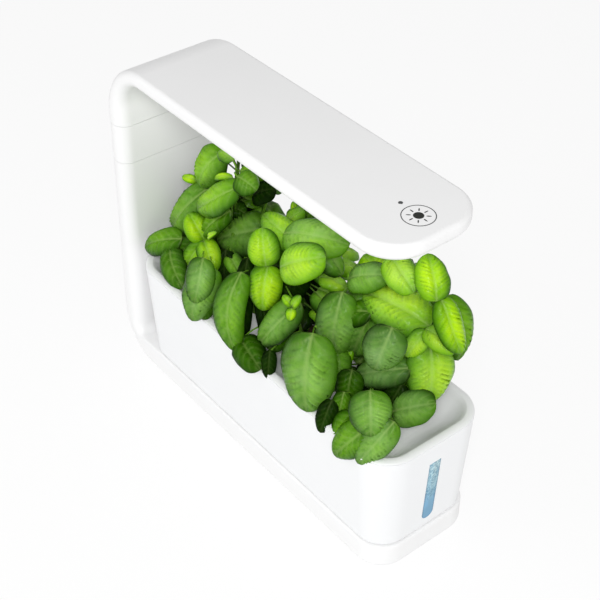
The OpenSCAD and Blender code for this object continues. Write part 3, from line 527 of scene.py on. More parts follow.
LAMP_X, LAMP_L, LAMP_W, LAMP_R = 20, 300, 76, 8
BOSS_SET, BOSS_GAP, COVER_ROOM = BOSS_D * 0.75, 0.3, 2.3
TOUCH_X, TOUCH_D, DOT_X, DOT_D = X_TIP - 26.5, 28, X_TIP - 47, 2.6
hood_skin = loft("hood_skin", hood_rings(0, SEAM_HIGH + SEAM_GAP))
carve(hood_skin, [
    loft("cavity", hood_rings(WALL, SEAM_HIGH - WALL)),
    slab("lamp_hole", (LAMP_X, 0), LAMP_L, LAMP_W, LAMP_R, ARM_Z - WALL, ARM_Z + 2 * WALL),
    drum("touch_pocket", (TOUCH_X, 0), FRAME_H - WALL / 2, FRAME_H + WALL, TOUCH_D / 2),
    drum("dot_hole", (DOT_X, 0), FRAME_H - 2 * WALL, FRAME_H + 2 * WALL, DOT_D / 2),
])
bosses = []
for x in (-1, 0, 1):
    for y in (-1, 1):
        centre = (LAMP_X + x * (LAMP_L / 2 - BOSS_D), y * (LAMP_W / 2 - BOSS_SET))
        bosses.append(drum("boss", centre, ARM_Z + COVER_ROOM, FRAME_H - WALL / 2, BOSS_D / 2 - BOSS_GAP))
carve(hood_skin, bosses, "UNION")
dress(hood_skin, frame_white, "hood", ["hood_shell"])

# %% [markdown]
# ## The printed touch ring
# The touch field is marked by a thin ring, a disc in its middle and eight short rays, like a
# small sun. A picture of it could be laid on the plastic, but the real ink stands a hair proud
# and has a clean edge, so it is a thin raised skin.

# %% Printed ring
INK_T, RING_R, RING_LINE, ROUND_STEPS, OVER = 0.12, 13.1, 0.75, 96, 1
ring_mark = drum(
    "ring_mark", (TOUCH_X, 0), FRAME_H, FRAME_H + INK_T, RING_R + RING_LINE / 2, sides=ROUND_STEPS)
carve(ring_mark, [drum(
    "inner", (TOUCH_X, 0), FRAME_H - OVER, FRAME_H + OVER, RING_R - RING_LINE / 2, sides=ROUND_STEPS)])
dress(ring_mark, print_grey, "hood")

# %% [markdown]
# A disc and rays are flat outlines. A thin skin over them is made face by face, since a loft
# needs one outline only.

# %% Thin printed forms
def flat_form(name, outlines, low, high):
    """Thin raised skins over closed outlines, each a list of [x, y]."""
    points, faces = [], []
    for line in outlines:
        first, count = len(points), len(line)
        points += [(x, y, low) for x, y in line] + [(x, y, high) for x, y in line]
        faces.append([first + k for k in range(count)])
        faces.append([first + count + k for k in range(count)])
        for k in range(count):
            n = (k + 1) % count
            faces.append((first + k, first + n, first + count + n, first + count + k))
    return shape(name, points, faces)


def round_line(centre, radius, sides=72):
    """The outline of a circle."""
    angles = [2 * math.pi * k / sides for k in range(sides)]
    return [(centre[0] + radius * math.cos(w), centre[1] + radius * math.sin(w)) for w in angles]

# %% [markdown]
# Each ray is a pointed oval: it runs out and back along its own direction, and its width follows
# a sine that is damped towards the tip, so it is widest towards the disc.

# %% Printed sun
DISC_R, RAYS, RAY_IN, RAY_OUT, RAY_W, RAY_STEPS, RAY_TAPER = 4.2, 8, 5.7, 9.6, 1.25, 20, 0.35
marks = [round_line((TOUCH_X, 0), DISC_R)]
for k in range(RAYS):
    w = 2 * math.pi * k / RAYS
    along, across = (math.cos(w), math.sin(w)), (-math.sin(w), math.cos(w))
    ray = []
    for step in range(RAY_STEPS):
        t = 2 * math.pi * step / RAY_STEPS
        share = 0.5 - 0.5 * math.cos(t)
        width = RAY_W / 2 * math.sin(t) * (1 - RAY_TAPER * share)
        r = mix(RAY_IN, RAY_OUT, share)
        ray.append((TOUCH_X + along[0] * r + across[0] * width, along[1] * r + across[1] * width))
    marks.append(ray)
sun_mark = flat_form("sun_mark", marks, FRAME_H, FRAME_H + INK_T)
dress(sun_mark, print_black, "hood")

# %% [markdown]
# The indicator light is a small dark lens behind a crescent of ink. The crescent is a disc with
# a second disc bitten out of it.

# %% Crescent at the indicator light
CRESCENT_R, CRESCENT_Y = 1.9, 0.6
BITE_R, BITE_X, BITE_Y = CRESCENT_R * 0.72, 0.9, -1.4
dot_mark = drum(
    "dot_mark", (DOT_X, CRESCENT_Y), FRAME_H, FRAME_H + INK_T, CRESCENT_R, sides=ROUND_STEPS // 2)
carve(dot_mark, [drum(
    "bite", (DOT_X + BITE_X, BITE_Y), FRAME_H - OVER, FRAME_H + OVER, BITE_R, sides=ROUND_STEPS // 2)])
dress(dot_mark, print_grey, "hood")

# %% [markdown]
# ## Tank and planting deck
# The tank is a tall tub whose walls lean out to its rim, with a slot in its front wall for the
# water gauge. A block could be scaled wider at its top, but then its corners and edges would
# stretch too, so the tank is lofted through plan outlines with round corners, each a little wider
# than the one below. Foot and rim are rounded through a few more outlines, given as shares of
# the wall: how far they are set in, and how high they lie.

# %% Outline of the tank
TANK_Z, TANK_TOP, FLARE, TANK_R, TANK_WALL, TANK_FLOOR = 27.3, 132, 6, 26, 2.6, 3
BACK_SET, FRONT_SET, SIDE_SET = 19, 2.3, 1.7
TANK_X0, TANK_X1 = X_INNER + BACK_SET, X_FRONT - FRONT_SET
TANK_HALF = half_w(BASE_T) - SIDE_SET
FOOT_ROUND = [(1, 0), (0.3, 0.3), (0.08, 0.6), (0, 1)]
RIM_ROUND = [(0, -0.25), (0.07, -0.08), (0.25, 0)]


def plan_ring(inset, z, lift=0):
    """The tank's outline at a height, set in, and lifted from there."""
    out = FLARE * (z - TANK_Z) / (TANK_TOP - TANK_Z) - inset
    r = TANK_R + out
    x0, x1, y = TANK_X0 - out + r, TANK_X1 + out - r, TANK_HALF + out - r
    side = []
    for k in range(CORNER_STEPS + 1):
        w = math.pi / 2 * k / CORNER_STEPS
        side.append((x0 - r * math.cos(w), y + r * math.sin(w)))
    for k in range(CORNER_STEPS + 1):
        w = math.pi / 2 * k / CORNER_STEPS
        side.append((x1 + r * math.sin(w), y + r * math.cos(w)))
    return [(x, -y, z + lift) for x, y in side] + [(x, y, z + lift) for x, y in side[::-1]]


print("tank foot", round(TANK_X1 - TANK_X0, 1), "x", round(2 * TANK_HALF, 1), "mm")

# %% [markdown]
# The slot goes through the front wall, which leans. So its outline is drawn in the wall, flat
# above and round below, and the bar that cuts it is tilted by the same angle.

# %% Slot of the gauge
GAUGE_TILT = math.atan(FLARE / (TANK_TOP - TANK_Z))
GAUGE_W, GAUGE_LOW, GAUGE_TOP, GAUGE_STEPS = 13, 38, 111, 24


def gauge_bar(name, grow, deep, shallow):
    """A bar across the leaning front wall with the gauge's outline: flat above, round below."""
    r = (GAUGE_W + 2 * grow) / 2
    low = (GAUGE_LOW + GAUGE_W / 2 - TANK_Z) / math.cos(GAUGE_TILT)
    top = (GAUGE_TOP - TANK_Z) / math.cos(GAUGE_TILT) + grow
    outline = [(-r, top)]
    for k in range(GAUGE_STEPS + 1):
        w = math.pi * k / GAUGE_STEPS
        outline.append((-r * math.cos(w), low - r * math.sin(w)))
    outline.append((r, top))
    lean = Matrix.Rotation(GAUGE_TILT, 4, "Y")
    foot = Vector((TANK_X1, 0, TANK_Z))
    points = [foot + lean @ Vector((x, y, z)) for x in (-deep, -shallow) for y, z in outline]
    count = len(outline)
    faces = [list(range(count)), list(range(count, 2 * count))]
    for k in range(count):
        n = (k + 1) % count
        faces.append((k, n, count + n, count + k))
    return shape(name, points, faces)


print("front wall leans", round(math.degrees(GAUGE_TILT), 1), "degrees")

# %% [markdown]
# The tank is cut hollow with a second loft, which leaves a wall and a floor, and then gets its
# slot.

# %% Tank skin
tank_rings = [plan_ring(TANK_WALL * inset, TANK_Z + TANK_WALL * rise) for inset, rise in FOOT_ROUND]
tank_rings += [plan_ring(TANK_WALL * inset, TANK_TOP + TANK_WALL * rise) for inset, rise in RIM_ROUND]
tank_skin = loft("tank_skin", tank_rings)
carve(tank_skin, [
    loft("cavity", [
        plan_ring(TANK_WALL, z) for z in (TANK_Z + TANK_FLOOR, TANK_TOP + TANK_WALL)]),
    gauge_bar("gauge_slot", 0, 2 * TANK_WALL, -TANK_WALL)])
dress(tank_skin, tank_white, "water_tank", ["tank"])

# %% [markdown]
# The planting deck is the tank's lid: a rounded border falls into a dish, in whose floor sit the
# three pots, and a skirt below keeps it in place. Its section was read off at a few places. A
# soft curve through them gives the hollow its shape, and that section is then carried round the
# tank's outline, inner side first, so that the lid is one closed skin of even thickness.

# %% Section of the planting deck
DISH_D, DISH_W, CREST_H, DECK_T, SKIRT_D, SEAT = 13, 30, 2.4, 2, 5, 0.3
DECK_Z = TANK_TOP + CREST_H - DISH_D
DISH_SHARES = [(0.22, 0), (0.31, 0.14), (0.43, 0.42), (0.6, 0.72), (0.8, 0.93), (1, 1)]
CURVE_STEPS, CREST_SHARE, SKIRT_SHARE = 4, 0.14, 0.8


def smooth_line(stops, steps):
    """A soft curve through stops, with some steps between each two."""
    line = []
    last = len(stops) - 1
    for k in range(last):
        before, start, end, after = (stops[max(min(k + d, last), 0)] for d in (-1, 0, 1, 2))
        for j in range(steps):
            t = j / steps
            line.append(tuple(
                0.5 * (2 * b + (c - a) * t + (2 * a - 5 * b + 4 * c - d) * t * t
                       + (3 * b - a - 3 * c + d) * t ** 3)
                for a, b, c, d in zip(before, start, end, after)))
    line.append(tuple(stops[last]))
    return line


print("dish floor", DECK_Z, "mm up")

# %% [markdown]
# The section goes from the middle of the underside outwards, down and up the skirt, over the
# border and back inwards. Each place of it is a ring of the loft. Last the holes of the pots are
# cut.

# %% Deck skin
POT_PITCH, POT_HOLE_D = 105, 51
TANK_MID = (TANK_X0 + TANK_X1) / 2
pot_x = [TANK_MID + k * POT_PITCH for k in (-1, 0, 1)]
dish = smooth_line(DISH_SHARES, CURVE_STEPS)
skirt_out = TANK_WALL + 2 * SEAT
skirt_in = skirt_out + DECK_T * SKIRT_SHARE
edge_set = TANK_WALL / 4
border = [
    (edge_set, SEAT + CREST_H / 3), (edge_set + CREST_H / 2, CREST_H * 0.75),
    (DISH_W * CREST_SHARE, CREST_H)]
deck_profile = [(DISH_W * a, CREST_H - DECK_T - DISH_D * d) for a, d in dish[::-1]]
deck_profile += [
    (skirt_in, SEAT), (skirt_in, -SKIRT_D), (skirt_out, -SKIRT_D), (skirt_out, SEAT), (edge_set, SEAT)]
deck_profile += smooth_line(border, CURVE_STEPS)
deck_profile += [(DISH_W * a, CREST_H - DISH_D * d) for a, d in dish]
deck_skin = loft("deck_skin", [plan_ring(inset, TANK_TOP, lift) for inset, lift in deck_profile])
carve(deck_skin, [
    drum("pot_hole", (x, 0), DECK_Z - 3 * DECK_T, DECK_Z + 3 * DECK_T, POT_HOLE_D / 2, sides=ROUND_STEPS)
    for x in pot_x])
dress(deck_skin, deck_white, "deck", ["planting_deck"])

# %% [markdown]
# ## The water gauge
# The window is a clear pane set in the front wall. Behind it the float stands in a guide, in
# water that looks blue: pale at the top, then light blue, both with wavy darker swirls, and plain
# blue at the bottom. Real water would need a body of its own and many bounces of light through
# two clear walls. So its colours are worked out once, by height, and given to the pane, which
# lets about a fifth of the light straight through, and to the guide behind it. The tank's white
# walls let daylight into the water, and a painted glow in that colour on the guide stands for it.

# %% Colour of the water
# where the painted shade at the window's sides starts and ends, and how dark it gets at most
EDGE_IN, EDGE_OUT, EDGE_SHADE = 4.6, 6.4, 0.7
SWIRL_SCALE, SWIRL_TWIST, SWIRL_FROM, SWIRL_FULL = 170.0, 2.6, 0.3, 0.42
WATER_STOPS = [
    (0.02, (112, 170, 206)), (0.3, (122, 178, 210)), (0.45, (158, 204, 226)),
    (0.65, (190, 224, 237)), (0.98, (214, 238, 244))]


def ramped(tree, share, stops):
    """A colour looked up by a share along stops, each a place and a screen colour."""
    ramp = add(tree, "ShaderNodeValToRGB", {"Fac": share})
    elements = ramp.color_ramp.elements
    for at, tone in stops:
        elements.new(at).color = colour(*tone)
    elements.remove(elements[0])
    elements.remove(elements[-1])
    return ramp.outputs["Color"]


def water_colour(tree):
    """The water's colour by height, with swirls, and painted shade towards its sides."""
    place = own_place(tree)
    apart = add(tree, "ShaderNodeSeparateXYZ", {"Vector": place})
    height = between(tree, apart.outputs["Z"], 0.0, 1.0, GAUGE_LOW * MM, GAUGE_TOP * MM)
    plain = ramped(tree, height, WATER_STOPS)
    swirl = add(tree, "ShaderNodeTexNoise", {
        "Vector": place, "Scale": SWIRL_SCALE, "Detail": 3.0, "Distortion": SWIRL_TWIST})
    band = between(tree, swirl.outputs["Fac"], 0.0, 1.0, 0.38, 0.62)
    dark = blended(tree, band, colour(150, 182, 198), colour(250, 255, 250))
    swirled = blended(tree, 1.0, plain, dark, "MULTIPLY")
    above = between(tree, height, 0.0, 1.0, SWIRL_FROM, SWIRL_FULL)
    body = blended(tree, above, plain, swirled)
    # painted shade: darker towards the window's sides, where the slot's walls shade the water
    off = add(tree, "ShaderNodeMath", {0: apart.outputs["Y"]}, operation="ABSOLUTE")
    side_shade = between(tree, off.outputs[0], 0.0, EDGE_SHADE, EDGE_IN * MM, EDGE_OUT * MM)
    return blended(tree, side_shade, body, colour(96, 132, 156))


print("water from", GAUGE_LOW, "to", GAUGE_TOP, "mm up")

# %% [markdown]
# The pane mixes its plastic with a see-through shader. Water and float are seen through it, so
# they get a little painted glow to be bright enough.

# %% Finishes of the gauge
PANE_CLEAR, WATER_GLOW, FLOAT_GLOW = 0.22, 0.9, 1.1


def shine_through(tree, output, share, first, second):
    """Sends two shaders to the output, mixed by the share of the second one."""
    both = add(tree, "ShaderNodeMixShader", {0: share, 1: first, 2: second})
    plug(tree, tree.nodes[output], {"Surface": both.outputs["Shader"]})


def glowing(name, tint, glow, rough):
    """A finish that shines in its own colour, which tint makes. Rough holds the scale of the
    noise in its roughness, the least roughness and the greatest."""
    finish, tree, surface = new_finish(name)
    body = tint(tree)
    plug(tree, surface, {
        "Base Color": body, "Emission Color": body, "Emission Strength": glow,
        "Roughness": between(tree, noise_at(tree, rough[0]), rough[1], rough[2])})
    return finish


def mist(tree):
    """The float's white, slightly uneven."""
    return blended(tree, noise_at(tree, 300), colour(236, 242, 244), colour(250, 252, 252))


clear, tree, surface = new_finish("clear_plastic")
ripple = noise_at(tree, 140, 2, (1, 1, 0.5))
plug(tree, surface, {
    "Base Color": water_colour(tree),
    "Roughness": between(tree, ripple, 0.08, 0.2),
    "Normal": relief(tree, ripple, 0.35, 0.0006)})
through = add(tree, "ShaderNodeBsdfTransparent", {"Color": colour(246, 252, 255)})
shine_through(tree, "Material Output", PANE_CLEAR, surface.outputs["BSDF"], through.outputs["BSDF"])
water = glowing("gauge_water", water_colour, WATER_GLOW, (600, 0.25, 0.4))
float_white = glowing("float_white", mist, FLOAT_GLOW, (900, 0.4, 0.5))
print("gauge finishes", clear.name, water.name, float_white.name)

# %% [markdown]
# ## Pieces that keep their CAD shape
# Collars, pots, boards, screws, feet and contacts are simple and small. Skins of their own would
# look the same, so their CAD meshes stay and get the finish that their material has. The grow
# plug is pressed fibre, so its noise is coarse, stretched and deep.

# %% Fibre of the grow plugs
plug_brown, tree, surface = new_finish("plug_brown")
fibre = noise_at(tree, 420, 6, (1, 1, 0.35), 0.7)
plug(tree, surface, {
    "Base Color": blended(tree, fibre, colour(34, 22, 14), colour(104, 76, 50)),
    "Roughness": 0.95,
    "Normal": relief(tree, fibre, 1.0, 0.0012)})
print("grow plug finish", plug_brown.name)

# %% [markdown]
# Each finish is followed by the nodes that get it.

# %% Finishes on the CAD nodes
kept = {
    inner_white: ["bottom_plate", "sleeve_collar", "hood_collar"],
    rubber: ["rubber_feet"],
    steel: ["bottom_screws", "diffuser_screws"],
    black_plastic: ["power_inlet", "column_socket", "sleeve_link", "hood_plug"],
    board_green: ["inlet_board", "touch_board"],
    sleeving: ["column_leads", "hood_leads"],
    brass: ["sleeve_pins", "hood_pins"],
    board_white: ["led_board"],
    led_yellow: ["leds"],
    milky: ["diffuser"],
    touch_white: ["touch_field"],
    indicator_finish: ["indicator_light"],
    clear: ["gauge_window"],
    seal_grey: ["gauge_seal"],
    water: ["float_guide"],
    float_white: ["gauge_float"],
    pot_white: ["net_pot_1", "net_pot_2", "net_pot_3"],
    plug_brown: ["grow_plug_1", "grow_plug_2", "grow_plug_3"],
}
for finish, names in kept.items():
    for name in names:
        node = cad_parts[name]
        node.data.materials.clear()
        node.data.materials.append(finish)
print("dressed CAD nodes", sum(len(names) for names in kept.values()))

# %% [markdown]
# ## Basil
# Basil grows in opposite pairs of leaves, each pair a quarter turn on from the one below. A
# leaf is a broad oval with a round foot and a short tip; its margins roll down, the blade
# bulges between the side veins and the midrib lies in a groove. Where light catches the middle
# of the blade it turns pale, and its margins lie in a deep green shade; both are painted. A
# picture of a leaf could be laid on flat cards, but from near its edges and folds would look like
# paper. So the veins, the green with its painted light and shade, and a painted sheen for the
# highlight are laid on the points of each blade, where they follow its shape, and the finish
# only turns those three values into colour, gloss and a quilted relief.

# %% Leaf finish
# greens by tone: the darkest stand for painted shade between the leaves, the lightest for lit leaves
LEAF_STOPS = [(0.0, (5, 14, 3)), (0.14, (26, 56, 3)), (0.3, (52, 98, 4)), (0.5, (86, 140, 7)),
              (0.7, (126, 182, 9)), (0.9, (170, 216, 13))]
VEIN_MIX, SHEEN_MIX = 0.32, 0.44
basil_green, tree, surface = new_finish("basil_green")
look = add(tree, "ShaderNodeAttribute", attribute_name="look")
parts = add(tree, "ShaderNodeSeparateColor", {"Color": look.outputs["Color"]})
# green holds each point's tone, its own green with painted light and shade; blue holds the painted sheen
vein, tone, sheen = (parts.outputs[k] for k in ("Red", "Green", "Blue"))
mottle = noise_at(tree, 120, 2)
fine = noise_at(tree, 900, 3)
uneven = add(tree, "ShaderNodeMath", {0: between(tree, mottle, -0.08, 0.08), 1: tone}, operation="ADD")
green = ramped(tree, uneven.outputs[0], LEAF_STOPS)
veined = blended(tree, between(tree, vein, 0.0, VEIN_MIX), green, colour(186, 214, 120))
# painted highlight: the sheen mixes a pale sage into the middle of the blade
with_painted_sheen = blended(tree, between(tree, sheen, 0.0, SHEEN_MIX), veined, colour(164, 200, 138))
dull = blended(tree, 0.5, green, colour(122, 150, 78))
quilt = relief(tree, mottle, 0.7, 0.0012)
plug(tree, surface, {
    "Base Color": blended(tree, look.outputs["Alpha"], dull, with_painted_sheen),
    "Roughness": between(tree, fine, 0.2, 0.36),
    "Specular IOR Level": between(tree, tone, 0.01, 0.16),
    "Normal": relief(tree, fine, 0.35, 0.0002, quilt)})
print("leaf colours", len(LEAF_STOPS))

# %% [markdown]
# A blade is a grid of points. Its rows run from foot to tip along an arched line, and each row
# bends down to the margins. Side veins leave the midrib at even steps and sweep forward, and the
# blade swells between them. Sculpting by hand would give one good leaf; a rule with a few random
# draws gives more than four hundred that differ. All lengths are in millimetres, s runs from 0 at
# the foot to 1 at the tip and c from -1 to 1 across.

# %% Leaf shape
FULL_TURN, VEINS, CURL = 6.28, 6, 1.05
UP = Vector((0, 0, 1))
# the bend of a row at the foot and how much it grows to the tip; where the arch is highest
FOOT_CURL, TIP_CURL, ARCH_SHIFT = 0.55, 0.45, 0.85
# the outline is widest below its middle, blunt, and never quite zero
OUTLINE_SHIFT, OUTLINE_POWER, LEAST_HALF = 0.8, 2.2, 0.04
# how far a blade tips sideways, and the waves along its margins
LEANS, FEWEST_WAVES, MORE_WAVES, MARGIN_WAVE = (-0.1, 0.1), 1.5, 1.5, 0.06
# how far side veins run forward, how they bend and how they waver
VEIN_SWEEP, VEIN_BEND, VEIN_WAVE, VEIN_RATE = 1.6, 0.9, 0.08, 5
# the swelling between veins: its height, how flat its top is, how fast it rises
SWELL_H, SWELL_POWER, SWELL_RISE, END_RISE = 0.12, 0.6, 3.5, 5
# the midrib's groove: depth and width, and what a wider leaf adds to them
GROOVE_D, GROOVE_MORE_D, GROOVE_W, GROOVE_MORE_W = 0.35, 0.022, 0.4, 0.06
# the painted midrib and side veins
RIB_W, RIB_FADE, VEIN_W, VEIN_SHARE = 0.75, 0.5, 0.1, 0.8


def outline(s):
    """Half width of a leaf along its length, as a share of its greatest: round foot, short tip."""
    off = min(abs(2 * s ** OUTLINE_SHIFT - 1), 1)
    return max(math.sqrt(1 - off ** OUTLINE_POWER), LEAST_HALF)


def leaf_grid(foot, tip, width, toward, rng, size, arch, curl, fold, bow):
    """Rows of places over a leaf's blade, each with its share across and its vein strength."""
    rows, cols = size
    span = tip - foot
    length = span.length
    along = span / length
    normal = (toward - along * toward.dot(along)).normalized()
    across_way = normal.cross(along)
    phase, waves = rng.random() * FULL_TURN, FEWEST_WAVES + rng.random() * MORE_WAVES
    lean = rng.uniform(*LEANS)
    grid = []
    for i in range(rows + 1):
        s = i / rows
        half = width / 2 * outline(s)
        bend = curl * (FOOT_CURL + TIP_CURL * s)
        heart = foot + along * (length * s)
        heart = heart + normal * (arch * length * math.sin(math.pi * s ** ARCH_SHIFT))
        heart += across_way * (bow * length * math.sin(math.pi * s))
        row = []
        for j in range(cols + 1):
            c = -1 + 2 * j / cols
            turn = bend * c
            across = half * math.sin(turn) / math.sin(bend)
            drop = half * (1 - math.cos(turn)) / math.sin(bend)
            count = s * VEINS - VEIN_SWEEP * abs(c) ** VEIN_BEND
            count = count + VEIN_WAVE * math.sin(phase + VEIN_RATE * c)
            gap = abs(count - round(count))
            swell = math.sin(math.pi * min(gap * 2, 1)) ** SWELL_POWER
            swell = swell * (1 - abs(c) ** 4) * min(abs(c) * SWELL_RISE, 1)
            groove = math.exp(-(across / (GROOVE_MORE_W * width + GROOVE_W)) ** 2)
            wave = MARGIN_WAVE * half * math.sin(phase + s * waves * FULL_TURN)
            lift = lean * across + fold * abs(across) - drop
            lift += SWELL_H * width * swell * min(END_RISE * s, 1) * min(END_RISE * (1 - s), 1)
            lift -= (GROOVE_D + GROOVE_MORE_D * width) * groove
            lift += wave * abs(c) ** 3 * (1 if c > 0 else -1)
            rib = math.exp(-(across / RIB_W) ** 2) * (1 - RIB_FADE * s)
            side = math.exp(-(gap / VEIN_W) ** 2) * (1 - abs(c)) * VEIN_SHARE
            row.append((heart + across_way * across + normal * lift, s, c, min(max(rib, side), 1), swell))
        grid.append(row)
    return grid, normal


print("steps from vein to vein", VEINS, "curl", CURL)

# %% [markdown]
# The grid becomes a closed skin: a top, an underside a third of a millimetre below it and a
# narrow rim. Each point carries the values for the finish: how much vein, which green with its
# painted light and shade, how much painted sheen, and whether it is on top. The margins and the
# grooves between the swellings are painted in shade and the middle painted lit, and one half of a
# blade is painted lighter than the other, as light falls on a blade folded at its midrib.

# %% Leaf meshes
LEAF_T, TOP, UNDER = 0.32, 1.0, 0.0
# how the painted lit middle fades across and along, the size of the patches in the painted sheen, and the
# turn beyond which the other half is painted lit
LIT_MIDDLE_WIDE, LIT_MIDDLE_LONG, CLOUD_MM, LIT_HALF_TURN = 2.2, 0.7, 0.09, 0.3
# painted light and shade: the share of its green that a leaf keeps at its shaded margin, and what its lit
# middle, its swellings and its lit half add
SHADED_MARGIN_SHARE, LIT_MIDDLE_TONE, SWELL_SHADE_TONE, LIT_HALF_TONE = 0.46, 0.48, 0.14, 0.16
STEM_VEIN, MIDDLE_SWELL, LIT_MIDDLE_MORE, VEIN_GAIN = 0.35, 0.4, 0.03, 2.2


def add_leaf(bag, grid, normal, tone, sheen):
    """A blade with a little thickness, painted with shade at its margins and light in its middle."""
    first, rows, wide = len(bag["points"]), len(grid) - 1, len(grid[0])
    # painted light: which half of the blade is painted lighter depends on which way it faces
    side = 1 if normal.x > LIT_HALF_TURN else -1
    for level, face in ((0, TOP), (-LEAF_T, UNDER)):
        for row in grid:
            for place, s, c, rib, swell in row:
                # painted light and shade: lit middle, patches of painted sheen, shaded margins and
                # grooves, one lit half
                lit_middle = 0
                if 0 < s < 1:
                    lit_middle = (1 - abs(c) ** LIT_MIDDLE_WIDE) * math.sin(math.pi * s) ** LIT_MIDDLE_LONG
                sheen_patch = 0.75 + 0.5 * cloud(place * CLOUD_MM)
                share = SHADED_MARGIN_SHARE + LIT_MIDDLE_TONE * lit_middle + SWELL_SHADE_TONE * (swell - MIDDLE_SWELL)
                share = share + side * c * LIT_HALF_TONE
                shade = tone * share + LIT_MIDDLE_MORE * lit_middle
                vein = rib * min(VEIN_GAIN * max(tone, 0), 1)
                bag["points"].append(place + normal * level)
                bag["look"].append((vein, shade, sheen * lit_middle * sheen_patch, face))
    under = (rows + 1) * wide
    for i in range(rows):
        for j in range(wide - 1):
            a = first + i * wide + j
            bag["faces"].append((a, a + 1, a + wide + 1, a + wide))
            bag["faces"].append((a + under, a + under + wide, a + under + wide + 1, a + under + 1))
    rim = [first + j for j in range(wide)]
    rim += [first + i * wide + wide - 1 for i in range(1, rows + 1)]
    rim += [first + rows * wide + j for j in range(wide - 2, -1, -1)]
    rim += [first + i * wide for i in range(rows - 1, 0, -1)]
    for k, a in enumerate(rim):
        b = rim[(k + 1) % len(rim)]
        bag["faces"].append((a, a + under, b + under, b))

# %% [markdown]
# A stem is a round tube that narrows along a soft curve. Its side direction is carried from ring
# to ring, so that the tube does not twist.

# %% Stem meshes
def add_stalk(bag, stops, r0, r1, tone, sides=8, steps=5):
    """A tapering round stem through stops."""
    line = [Vector(p) for p in smooth_line([tuple(p) for p in stops], steps)]
    first = len(bag["points"])
    side_way = Vector((1, 0, 0))
    for k, place in enumerate(line):
        way = (line[min(k + 1, len(line) - 1)] - line[max(k - 1, 0)]).normalized()
        side_way = (side_way - way * side_way.dot(way)).normalized()
        other = way.cross(side_way)
        r = mix(r0, r1, k / (len(line) - 1))
        for q in range(sides):
            w = 2 * math.pi * q / sides
            bag["points"].append(place + side_way * (r * math.cos(w)) + other * (r * math.sin(w)))
            bag["look"].append((STEM_VEIN, tone, 0.0, TOP))
    for k in range(len(line) - 1):
        for q in range(sides):
            a, b = first + k * sides + q, first + k * sides + (q + 1) % sides
            bag["faces"].append((a, b, b + sides, a + sides))
    end = first + (len(line) - 1) * sides
    bag["faces"].append([first + q for q in range(sides)][::-1])
    bag["faces"].append([end + q for q in range(sides)])
    return line
